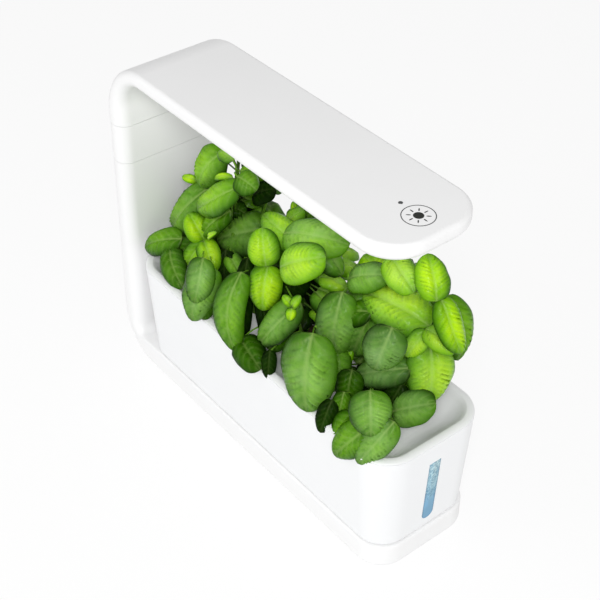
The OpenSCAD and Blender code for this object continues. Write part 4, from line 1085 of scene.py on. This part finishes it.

# %% [markdown]
# Each line below is one leaf of the photograph: the pixel of its foot, the pixel of its tip,
# its width in pixels, how far across the frame its foot and tip lie in millimetres (nearer the
# camera is more negative), how bright its green shows, which holds its own green together with
# painted light and shade, how much painted sheen it has, and how far it bows sideways. A
# photograph gives no depth, so the millimetres are judged from which leaf covers which. The
# nearly black ones, and many dark ones, are painted shade: they lie deep between the others,
# where only shade shows.

# %% Leaves read from the photograph
# tones as the leaves show, own green with painted light and shade; the nearly black leaves are painted
# shade between the others
BRIGHT, LIGHT, MID, DUSK, DARK, SHADE_BLACK = 0.9, 0.74, 0.56, 0.42, 0.28, 0.08
LEAVES = [
    [
        ((222, 152), (198, 185), 33, -8, -20, LIGHT, 0.35, -0.04),
        ((233, 160), (219, 150), 15, -8, -8, LIGHT, 0.6, 0),
        ((233, 178), (214, 178), 8, -10, -16, BRIGHT, 0, 0),
        ((197, 181), (182, 176), 9, -12, -20, BRIGHT, 0, 0),
        ((205, 187), (171, 229), 36, -26, -34, MID, 0.35, 0.06),
        ((178, 236), (141, 243), 27, -44, -58, MID, 0.1, 0),
        ((188, 240), (174, 233), 14, -42, -46, DUSK, 0, 0),
        ((170, 246), (183, 288), 25, -46, -60, DUSK, 0.1, -0.05),
        ((238, 187), (196, 208), 28, -24, -36, LIGHT, 0.25, 0.05),
        ((230, 211), (202, 235), 22, -30, -40, MID, 0, 0),
        ((205, 241), (189, 213), 24, -42, -46, BRIGHT, 0.05, 0),
        ((203, 239), (213, 273), 21, -43, -52, BRIGHT, 0.15, 0.04),
        ((203, 242), (187, 275), 20, -43, -55, LIGHT, 0.15, -0.05),
        ((208, 238), (216, 232), 6, -42, -42, BRIGHT, 0, 0),
        ((208, 262), (199, 308), 27, -53, -70, MID, 0.9, 0.03),
        ((213, 268), (192, 322), 31, -50, -71, MID, 0.9, -0.05),
        ((211, 288), (203, 320), 18, -52, -68, DARK, 0, 0),
        ((267, 229), (216, 239), 42, 8, -22, MID, 0.5, 0),
        ((228, 252), (241, 276), 17, -20, -28, MID, 0.3, 0),
        ((226, 250), (224, 282), 22, -8, -14, SHADE_BLACK, 0, 0),
        ((237, 176), (257, 190), 24, -10, -2, MID, 0.2, 0),
        ((240, 170), (256, 176), 12, -4, 6, LIGHT, 0.1, 0),
        ((252, 196), (276, 188), 24, 14, 22, SHADE_BLACK, 0, 0),
        ((228, 205), (246, 214), 20, -4, 4, DARK, 0, 0),
        ((196, 240), (178, 262), 20, -36, -44, DARK, 0, 0),
    ],
    [
        ((241, 272), (234, 352), 31, -42, -65, MID, 0.35, -0.09),
        ((240, 338), (260, 369), 30, -52, -63, DARK, 0, 0),
        ((270, 350), (268, 379), 14, -50, -60, SHADE_BLACK, 0, 0),
        ((280, 231), (243, 198), 29, -22, -24, LIGHT, 0.3, 0.04),
        ((266, 267), (262, 228), 29, -36, -30, BRIGHT, 0.2, 0),
        ((268, 265), (262, 311), 31, -36, -50, BRIGHT, 0.1, 0),
        ((258, 276), (254, 314), 26, -30, -42, DUSK, 0.1, 0),
        ((300, 303), (258, 345), 29, -38, -60, MID, 0.6, 0),
        ((292, 306), (283, 295), 9, -38, -40, LIGHT, 0, 0),
        ((292, 307), (300, 296), 9, -38, -36, LIGHT, 0, 0),
        ((292, 308), (289, 321), 10, -38, -43, BRIGHT, 0, 0),
        ((281, 269), (327, 258), 38, -34, -12, BRIGHT, 0.45, 0),
        ((283, 233), (349, 244), 36, -10, 10, LIGHT, 0.9, 0),
        ((286, 228), (303, 209), 20, 4, 8, LIGHT, 0.4, 0),
        ((291, 226), (281, 222), 9, 2, 0, BRIGHT, 0, 0),
        ((289, 214), (286, 196), 8, 8, 8, BRIGHT, 0, 0),
        ((292, 222), (284, 205), 12, 4, 4, MID, 0, 0),
        ((246, 256), (241, 340), 19, -20, -44, SHADE_BLACK, 0, 0),
        ((263, 270), (266, 340), 18, -26, -50, SHADE_BLACK, 0, 0),
        ((302, 268), (282, 300), 30, -14, -28, SHADE_BLACK, 0, 0),
        ((286, 320), (270, 352), 24, -34, -52, DARK, 0, 0),
        ((284, 236), (276, 262), 16, -12, -18, DARK, 0, 0),
        ((270, 184), (292, 213), 25, 12, 20, DARK, 0, 0),
        ((296, 196), (284, 214), 20, 20, 18, MID, 0.2, 0),
    ],
    [
        ((303, 326), (297, 405), 54, -48, -65, MID, 0.75, -0.02),
        ((318, 332), (325, 384), 34, -40, -54, DUSK, 0.2, 0.04),
        ((326, 280), (316, 345), 38, -30, -44, MID, 0.7, 0),
        ((356, 288), (324, 308), 34, -14, -30, DUSK, 0.3, 0.05),
        ((330, 280), (296, 286), 26, -22, -28, DUSK, 0, 0),
        ((320, 258), (361, 254), 32, -18, -4, MID, 0.8, 0),
        ((352, 266), (362, 272), 13, -10, -8, BRIGHT, 0, 0),
        ((350, 284), (344, 268), 9, -14, -14, LIGHT, 0.3, 0),
        ((352, 286), (366, 294), 9, -14, -10, LIGHT, 0.3, 0),
        ((390, 288), (364, 254), 33, 2, 0, BRIGHT, 0.1, 0),
        ((390, 256), (414, 292), 30, 6, 0, BRIGHT, 0.6, 0),
        ((437, 301), (428, 253), 30, 12, 26, BRIGHT, 0.05, 0),
        ((430, 326), (363, 291), 44, 2, -14, BRIGHT, 0.35, 0),
        ((441, 298), (462, 354), 26, 14, 18, BRIGHT, 0, -0.04),
        ((446, 296), (459, 361), 28, 22, 26, MID, 0.1, 0.1),
        ((426, 328), (457, 351), 25, 4, 8, BRIGHT, 0.4, 0),
        ((426, 331), (405, 357), 20, 0, -12, BRIGHT, 0.4, 0),
        ((430, 345), (429, 404), 44, 0, -10, BRIGHT, 0.4, 0.02),
        ((413, 388), (399, 382), 11, -10, -14, LIGHT, 0, 0),
        ((391, 412), (435, 403), 34, -22, -8, MID, 0.75, 0),
        ((374, 308), (352, 357), 37, -16, -28, DUSK, 0.25, 0),
        ((392, 328), (374, 371), 38, -22, -34, DUSK, 0.9, 0),
        ((376, 311), (403, 338), 18, -14, -6, MID, 0.1, 0),
        ((410, 368), (354, 376), 31, -18, -36, DUSK, 0.85, 0),
        ((370, 390), (371, 437), 38, -42, -56, MID, 0.65, 0),
        ((394, 422), (357, 464), 30, -38, -62, MID, 0.9, 0),
        ((368, 432), (333, 460), 33, -50, -67, MID, 0.15, 0),
        ((354, 414), (337, 443), 28, -44, -58, MID, 0, 0),
        ((332, 400), (320, 433), 19, -48, -63, SHADE_BLACK, 0, 0),
        ((350, 348), (341, 372), 13, -30, -38, LIGHT, 0, 0),
        ((338, 338), (332, 354), 10, -32, -38, BRIGHT, 0, 0),
        ((340, 368), (336, 388), 12, -38, -46, MID, 0, 0),
        ((352, 370), (346, 404), 26, -32, -42, DARK, 0, 0),
        ((344, 392), (338, 420), 18, -40, -50, DUSK, 0, 0),
        ((414, 356), (401, 388), 22, -8, -16, DUSK, 0, 0),
        ((366, 292), (350, 324), 32, 2, -8, SHADE_BLACK, 0, 0),
        ((350, 322), (346, 356), 20, -12, -22, SHADE_BLACK, 0, 0),
        ((402, 384), (386, 410), 22, -16, -26, SHADE_BLACK, 0, 0),
        ((344, 366), (330, 384), 20, -30, -40, SHADE_BLACK, 0, 0),
        ((418, 300), (440, 322), 20, 14, 20, DUSK, 0, 0),
    ],
]
print("leaves to lay", [len(lines) for lines in LEAVES])

# %% [markdown]
# The plants' dark inside and their far side are filled by rule. Such a leaf is kept only where
# it stays within the foliage's outline in the photograph and clear of its holes. Whether a
# place lies within the outline is found by counting how often a line from it to the right
# crosses the outline: an odd number means within.

# %% Where rule-made leaves may show
FOLIAGE = [
    (215, 148), (203, 152), (194, 162), (192, 175), (182, 177), (173, 192), (172, 215), (168, 228),
    (150, 232), (142, 241), (150, 254), (163, 256), (165, 268), (173, 281), (183, 286), (187, 302),
    (191, 316), (201, 320), (212, 319), (213, 329), (221, 341), (233, 350), (243, 362), (256, 367),
    (268, 376), (277, 369), (281, 386), (289, 400), (298, 404), (310, 400), (321, 387), (334, 388),
    (332, 400), (320, 403), (316, 415), (320, 431), (334, 432), (332, 452), (338, 463), (357, 463),
    (373, 459), (388, 449), (398, 427), (414, 426), (430, 417), (434, 402), (446, 394), (452, 380),
    (452, 360), (463, 357), (471, 345), (468, 328), (458, 313), (446, 296), (445, 276), (438, 258),
    (430, 200), (300, 90), (215, 110)]
HOLES = [((227, 167), 11), ((253, 318), 5), ((340, 334), 6)]


def pixel_of(place):
    """The pixel of the photograph at which a place shows."""
    line = place - EYE
    scale = -FOCAL_PX / line.dot(back_dir)
    return MIDDLE_PX + line.dot(right_dir) * scale, MIDDLE_PX - line.dot(up_dir) * scale


def within_foliage(place):
    """Whether a place shows inside the foliage's outline and outside its holes."""
    x, y = pixel_of(place)
    if any(math.hypot(x - hole[0], y - hole[1]) < r for hole, r in HOLES):
        return False
    crossings = 0
    for (x0, y0), (x1, y1) in zip(FOLIAGE, FOLIAGE[1:] + FOLIAGE[:1]):
        if (y0 > y) != (y1 > y) and x < x0 + (x1 - x0) * (y - y0) / (y1 - y0):
            crossings += 1
    return crossings % 2 == 1


print("foliage outline of", len(FOLIAGE), "places and", len(HOLES), "holes")

# %% [markdown]
# Leaves must not cut through each other where that shows. So the picture is divided into small
# cells that remember how deep the leaves laid there reach. Leaves are laid from the nearest to
# the farthest, and one that would cross a nearer leaf is pushed away along the lines of sight,
# which leaves its place in the picture unchanged. A test of each face against all others would
# find more crossings, but it takes minutes, and what doesn't show does no harm. Each plant also
# has a room of its own that its leaves may not leave, so neighbouring plants hardly touch.

# %% Keeping leaves apart
ROOM = [(-167, -33), (-30, 73), (75, 202.5)]
REACH_Y, LOW_Z, HIGH_Z = 74.5, 117, 285
CELL_PX, CLEAR, PUSH, TRIES, TEST_EVERY = 4, 2.6, 1.0026, 18, 3
TANK_CLEAR_Z, TANK_CLEAR_Y = TANK_TOP + 2.6, 62
front = {}


def room_shift(points, plant):
    """How far points have to move to lie in their plant's room."""
    limits = (ROOM[plant], (-REACH_Y, REACH_Y), (LOW_Z, HIGH_Z))
    shift = Vector()
    for axis, (low, high) in enumerate(limits):
        values = [p[axis] for p in points]
        shift[axis] = max(low - min(values), 0) + min(high - max(values), 0)
    return shift


def depths(points):
    """The picture cell and the depth of each place."""
    for place in points:
        x, y = pixel_of(place)
        yield (int(x // CELL_PX), int(y // CELL_PX)), (EYE - place).dot(back_dir)


def settle(grid, number, hidden):
    """A leaf's rows moved behind what is nearer, or None where a hidden leaf finds no place."""
    for _ in range(TRIES):
        points = [entry[0] for row in grid for entry in row]
        shift = room_shift(points, number)
        if hidden:
            shift.z += max(TANK_CLEAR_Z - min(p.z for p in points) - shift.z, 0)
        placed = [p + shift for p in points]
        crossing = any(depth < front.get(cell, -1) + CLEAR for cell, depth in depths(placed))
        in_tank = any(p.z < TANK_CLEAR_Z and abs(p.y) < TANK_CLEAR_Y for p in placed)
        if not (crossing or shift.y > 1) or (in_tank and not hidden):
            break
        grid = [[(EYE + (entry[0] - EYE) * PUSH, *entry[1:]) for entry in row] for row in grid]
    if hidden and (crossing or not all(within_foliage(p) for p in placed[::TEST_EVERY])):
        return None
    if not hidden:
        for cell, depth in depths(placed):
            front[cell] = max(front.get(cell, depth), depth)
    return [[(entry[0] + shift, *entry[1:]) for entry in row] for row in grid]


print("cells of", CELL_PX, "pixels, leaves at least", CLEAR, "mm apart in depth")

# %% [markdown]
# The stems come out of the middle of each plug, lean outwards and bow upright. Those that the
# photograph shows end at a pixel and a depth, as the leaves do, and three more stand on each
# plant's far side. A leaf's stalk starts from the stem that is nearest, best a little below the
# leaf's foot. Stems pass behind the leaves: the same picture cells say how far they move back.

# %% Stems and stalks
PLUG_TOP, STEM_CLEAR = 121.7, 3.5
# a stem's two stops between its ends, and the ring on the plug from which the stems rise
LOW_SHARE, LOW_BOW, HIGH_SHARE, HIGH_DROP = 0.35, -0.05, 0.7, 4
STEM_RING, STEM_TURN, STEM_SUNK, STEM_R, STEM_TIP_R = 4.5, 2.4, 1.5, 1.9, 1.0
# what counts against a start above or before the leaf, and how a stalk bends and thickens
RISE_COST, RISE_ROOM, NEAR_COST = 0.6, 3, 1.5
STALK_BEND, STALK_BACK, STALK_ON, STALK_SWELL = 0.6, 2, 1.5, 1.2
STEM_TONE, STALK_TONE = 0.42, 0.5
STEMS = [
    [((203, 243), -40), ((236, 172), -4), ((232, 196), -16), ((176, 240), -42), ((214, 262), -44)],
    [((266, 267), -35), ((288, 232), 2), ((240, 276), -40), ((296, 304), -36), ((262, 232), 4)],
    [((427, 334), 1), ((356, 288), -14), ((388, 278), 2), ((376, 318), -18), ((374, 392), -38),
     ((440, 302), 16), ((316, 326), -42)],
]
FAR_STEMS = [(-26, 30, 104), (24, 34, 112), (2, 12, 126)]


def behind(place):
    """A place moved back along its line of sight until it is behind the leaves before it."""
    (cell, depth), = depths([place])
    return EYE + (place - EYE) * max((front.get(cell, 0) + STEM_CLEAR) / depth, 1)


def stem_line(foot, top):
    """A stem's stops from its foot to its top: out first, then upright."""
    low = foot.lerp(top, LOW_SHARE) + (top - foot).cross(UP).cross(UP) * LOW_BOW
    high = foot.lerp(top, HIGH_SHARE) + Vector((0, 0, -HIGH_DROP))
    return [foot] + [behind(stop) for stop in (low, high, top)]


def stalk_to(plant, foot, along, tone, thick):
    """A leaf's stalk from the nearest place on a stem; places above or in front count as farther."""
    def cost(q):
        above = max(q.z - foot.z + RISE_ROOM, 0)
        before = max((q - foot).dot(back_dir), 0)
        return (q - foot).length + RISE_COST * above + NEAR_COST * before

    start = min(plant["nodes"], key=cost)
    if (start - foot).length > 1:
        bend = behind(start.lerp(foot, STALK_BEND) - along * STALK_BACK)
        stops = [start, bend, foot + along * STALK_ON]
        add_stalk(plant["bag"], stops, thick * STALK_SWELL, thick, tone, sides=6, steps=4)


def sprout(plant):
    """A plant's stems, then the stalks of the leaves that are laid already."""
    middle, number = plant["middle"], plant["number"]
    tops = [spot(pixel, y) for pixel, y in STEMS[number]]
    tops = [top + room_shift([top], number) for top in tops] + [middle + Vector(p) for p in FAR_STEMS]
    for k, top in enumerate(tops):
        w = STEM_TURN * k
        foot = middle + Vector((STEM_RING * math.cos(w), STEM_RING * math.sin(w), -STEM_SUNK))
        line = add_stalk(plant["bag"], stem_line(foot, top), STEM_R, STEM_TIP_R, STEM_TONE, steps=8)
        plant["nodes"] += line[len(line) // 3:]
    for root, along, thick in plant["roots"]:
        stalk_to(plant, root, along, STALK_TONE, thick)


print("stems", [len(stems) + len(FAR_STEMS) for stems in STEMS])

# %% [markdown]
# A leaf of the photograph is laid between two places in space: its two pixels, each at its own
# depth. Its face turns partly up, partly to the camera and a little outwards, as leaves turn to
# the light. Small draws for its arch, curl and green keep any two leaves from being alike.

# %% Leaves of the photograph
PX_MM = [1.02, 0.98, 0.92]
SMALL_PX, FINE, SMALL = 14, (38, 18), (14, 8)
OUT_MM, FACE_UP, FACE_CAMERA, FACE_OUT = 60, 0.5, 0.8, 0.2
ARCHES, CURLS, TONE_DRIFTS, SMALL_FOLD = (0.1, 0.16), (0.8, 1.1), (-0.03, 0.03), 0.2
STALK_R, SMALL_STALK_R = 0.7, 0.45


def lay_read(plant, line):
    """One leaf of the photograph."""
    foot_px, tip_px, wide_px, foot_y, tip_y, tone_value, sheen_value, bow = line
    rng, number = plant["rng"], plant["number"]
    foot, tip = spot(foot_px, foot_y), spot(tip_px, tip_y)
    out = Vector((foot.x - plant["middle"].x, foot.y, 0)) / OUT_MM
    toward = UP * FACE_UP + back_dir * FACE_CAMERA + out * FACE_OUT
    small = wide_px < SMALL_PX
    grid, normal = leaf_grid(
        foot, tip, wide_px * PX_MM[number], toward, rng, SMALL if small else FINE,
        rng.uniform(*ARCHES), CURL * rng.uniform(*CURLS), SMALL_FOLD if small else 0.0, bow)
    grid = settle(grid, number, False)
    add_leaf(plant["bag"], grid, normal, tone_value + rng.uniform(*TONE_DRIFTS), sheen_value)
    root = grid[0][len(grid[0]) // 2][0]
    plant["roots"].append((root, (tip - foot).normalized(), SMALL_STALK_R if small else STALK_R))
    if not small and tone_value > DARK:
        plant["twins"].append((root, tip - foot, toward))

# %% [markdown]
# Behind the leaves that the photograph shows there are more. Basil leaves come in pairs, so each
# large one gets twins, painted darker as shaded, turned away round its stem. The rest is a dome
# of leaves: nearly black ones inside, which are painted shade and close the view between the
# outer ones, and ones painted lit on the far side, the lightest with a painted sheen. Their
# stalks are painted darker as shaded. They are coarser meshes, and one that finds no hidden
# place is left out.

# %% Rule-made leaves
# a coarse grid, bows, the painted sheen of lighter far leaves, and the painted shade of hidden stalks
ROUGH, HIDDEN_BOWS, HIDDEN_SHEEN, HIDDEN_STALK_SHADE = (14, 10), (-0.05, 0.05), 0.3, 0.25
# the twins: turns in degrees, depths and lengths in millimetres, the rest as shares
TURNS_ASIDE, TURNS_BACK, TWIN_DEPTHS = (50, 100), (140, 220), (4, 12)
TWIN_LENGTHS, TWIN_MOST, TWIN_WIDTHS = (0.75, 0.95), 44, (0.62, 0.75)
# the twins' tones are painted shade
TWIN_ARCH, TWIN_SHADE_TONES = 0.13, (0.1, 0.4)
# the dome: how many leaves, how they go round and up, and how it draws in towards its top
INNER, FAR, LEVELS, SPIRAL, FAR_TURNS = 120, 44, 7, 2.4, (-0.06, 1.06)
FAR_SHARES, INNER_SHARES, DOME_X, DOME_Y = (0.84, 1.0), (0.25, 0.78), 0.45, 0.5
CROWN_Z, CROWN_H, FAR_TOP, INNER_TOP = 136, 136, 0.98, 0.84
FOOT_SHARE, FOOT_RISES, SHORTEST = 0.4, (4, 18), 22
REST_UP, REST_OUTS, REST_WIDTHS, WIDEST = 0.9, (0.4, 1.1), (0.62, 0.78), 36
# the inner tones are nearly black painted shade; the far tones are painted lighter
FAR_TONES, INNER_SHADE_TONES, REST_ARCHES = (0.3, 0.88), (-0.05, 0.08), (0.1, 0.18)


def lay_hidden(plant, foot, tip, width, toward, arch, curl, tone_value):
    """A rule-made leaf, where it finds a place behind the others."""
    grid, normal = leaf_grid(
        foot, tip, width, toward, plant["rng"], ROUGH, arch, curl, 0.0, plant["rng"].uniform(*HIDDEN_BOWS))
    grid = settle(grid, plant["number"], True)
    if grid:
        add_leaf(plant["bag"], grid, normal, tone_value, HIDDEN_SHEEN * (tone_value > DUSK))
        root = grid[0][len(grid[0]) // 2][0]
        stalk_to(plant, root, (tip - foot).normalized(), HIDDEN_STALK_SHADE, STALK_R)
        plant["kept"] += 1


def lay_twins(plant):
    """Each large leaf has twins behind it, painted darker as shaded, turned away round the stem."""
    rng = plant["rng"]
    for foot, reach, toward in plant["twins"]:
        for turn in (rng.uniform(*TURNS_ASIDE), -rng.uniform(*TURNS_ASIDE), rng.uniform(*TURNS_BACK)):
            way = Matrix.Rotation(math.radians(turn), 3, toward) @ reach
            way *= min(rng.uniform(*TWIN_LENGTHS), TWIN_MOST / way.length)
            start = foot - back_dir * rng.uniform(*TWIN_DEPTHS)
            width = way.length * rng.uniform(*TWIN_WIDTHS)
            tone_value = rng.uniform(*TWIN_SHADE_TONES)
            lay_hidden(plant, start, start + way, width, toward, TWIN_ARCH, CURL, tone_value)


def lay_rest(plant):
    """Nearly black leaves inside the plant as painted shade, and ones painted lighter on its far side."""
    rng, middle = plant["rng"], plant["middle"]
    low, high = ROOM[plant["number"]]
    for k in range(INNER + FAR):
        far = k >= INNER
        turn = math.pi * rng.uniform(*FAR_TURNS) if far else SPIRAL * k + rng.random()
        rise = (k % LEVELS + rng.random()) / LEVELS
        share = rng.uniform(*FAR_SHARES) if far else rng.uniform(*INNER_SHARES)
        reach_x = math.cos(turn) * (high - low) / 2 * share * math.sqrt(1 - DOME_X * rise * rise)
        tip = Vector((
            (low + high) / 2 + reach_x,
            math.sin(turn) * REACH_Y * share * math.sqrt(1 - DOME_Y * rise * rise),
            CROWN_Z + CROWN_H * rise * (FAR_TOP if far else INNER_TOP)))
        foot = Vector((
            mix(middle.x, tip.x, FOOT_SHARE), tip.y * FOOT_SHARE, tip.z + rng.uniform(*FOOT_RISES)))
        if (tip - foot).length < SHORTEST:
            foot = tip + (foot - tip).normalized() * SHORTEST
        toward = UP * REST_UP + Vector((math.cos(turn), math.sin(turn), 0)) * rng.uniform(*REST_OUTS)
        width = min((tip - foot).length * rng.uniform(*REST_WIDTHS), WIDEST)
        tone_value = rng.uniform(*(FAR_TONES if far else INNER_SHADE_TONES))
        lay_hidden(plant, foot, tip, width, toward, rng.uniform(*REST_ARCHES), CURL, tone_value)

# %% [markdown]
# The leaves are grown in an order that counts: first those of the photograph, from the nearest
# to the farthest over all three plants, then the stems, then the twins and last the rest. Each
# plant draws its own random numbers from a fixed start, so it comes out the same each time. All
# leaves of a plant are one mesh, since they move together with its pot.

# %% Growing the plants
FIRST_SEED = 11


def start_plant(number):
    """An empty plant over its pot, with its own random numbers."""
    return {
        "number": number, "rng": random.Random(FIRST_SEED + number),
        "middle": Vector((pot_x[number], 0, PLUG_TOP)), "bag": {"points": [], "faces": [], "look": []},
        "nodes": [], "roots": [], "twins": [], "kept": 0}


def nearness(one):
    """The depth of a leaf of the photograph, its foot's and its tip's together."""
    foot_px, tip_px, _, foot_y, tip_y, *_ = one[1]
    return sum((EYE - spot(*end)).dot(back_dir) for end in ((foot_px, foot_y), (tip_px, tip_y)))


plants = [start_plant(number) for number in range(3)]
read = [(number, line) for number in range(3) for line in LEAVES[number]]
for number, line in sorted(read, key=nearness):
    lay_read(plants[number], line)
for plant in plants:
    sprout(plant)
    lay_twins(plant)
for plant in plants:
    lay_rest(plant)

for plant in plants:
    bag, number = plant["bag"], plant["number"] + 1
    leaves = shape("basil_leaves_%d" % number, bag["points"], bag["faces"])
    paint = leaves.data.color_attributes.new("look", "FLOAT_COLOR", "POINT")
    paint.data.foreach_set("color", [value for four in bag["look"] for value in four])
    dress(leaves, basil_green, "pot_%d" % number, ["basil_%d" % number],
          sharp=0, weighted=False)
    print("leaves read", len(LEAVES[number - 1]), "by rule", plant["kept"])

# %% [markdown]
# ## Ground and light
# The photograph was taken on white with very soft light: its strongest side is the near one,
# so that the long near side is almost white and the arm's top is a light grey. Two large square
# lights and a plain white world give that. A sky picture would add colours and reflections that
# the photograph doesn't have. The floor glows white and keeps only a faint shadow.

# %% Floor
FLOOR_SIZE, FLOOR_GLOW, WHITE = 6, 0.82, (1, 1, 1, 1)
corners = [
    (x * FLOOR_SIZE / MM / 2, y * FLOOR_SIZE / MM / 2, 0) for x, y in ((-1, -1), (1, -1), (1, 1), (-1, 1))]
floor = shape("floor", corners, [(0, 1, 2, 3)])
floor_finish, tree, surface = new_finish("floor_white")
plug(tree, surface, {"Base Color": colour(248, 248, 248), "Roughness": 0.9})
glow = add(tree, "ShaderNodeEmission", {"Color": WHITE, "Strength": 1.0})
shine_through(tree, "Material Output", FLOOR_GLOW, surface.outputs["BSDF"], glow.outputs["Emission"])
floor.data.materials.append(floor_finish)
print("floor glow", FLOOR_GLOW)

# %% [markdown]
# The world lights evenly from all sides. A camera ray sees it as pure white, whatever its
# strength is, through a second background.

# %% World light
WORLD_LIGHT = 0.55
world = bpy.data.worlds.new("studio")
bpy.context.scene.world = world
world.use_nodes = True
tree = world.node_tree
sky = tree.nodes["Background"]
plug(tree, sky, {"Color": WHITE, "Strength": WORLD_LIGHT})
plain = add(tree, "ShaderNodeBackground", {"Color": WHITE, "Strength": 1.0})
seen = add(tree, "ShaderNodeLightPath").outputs["Is Camera Ray"]
shine_through(tree, "World Output", seen, sky.outputs["Background"], plain.outputs["Background"])
print("world light", WORLD_LIGHT)

# %% [markdown]
# The main light stands high behind the camera, and a weaker and larger one on the near side
# lifts the long wall. The larger a light is, the softer its shadow gets.

# %% Lights
LIGHT_TARGET = (0, 0, 0.15)


def soft_light(name, place, size, power):
    """A square area light that faces the object; lengths are in metres, its power in watts."""
    data = bpy.data.lights.new(name, "AREA")
    data.shape, data.size, data.energy = "SQUARE", size, power
    lamp = bpy.data.objects.new(name, data)
    lamp.location = place
    lamp.rotation_euler = (Vector(place) - Vector(LIGHT_TARGET)).to_track_quat("Z", "Y").to_euler()
    bpy.context.scene.collection.objects.link(lamp)
    print(name, size, "m", power, "W")


soft_light("main_light", place=(1.3, -1.06, 1.6), size=0.6, power=26)
soft_light("near_light", place=(-0.7, -1.7, 0.9), size=1.2, power=6)
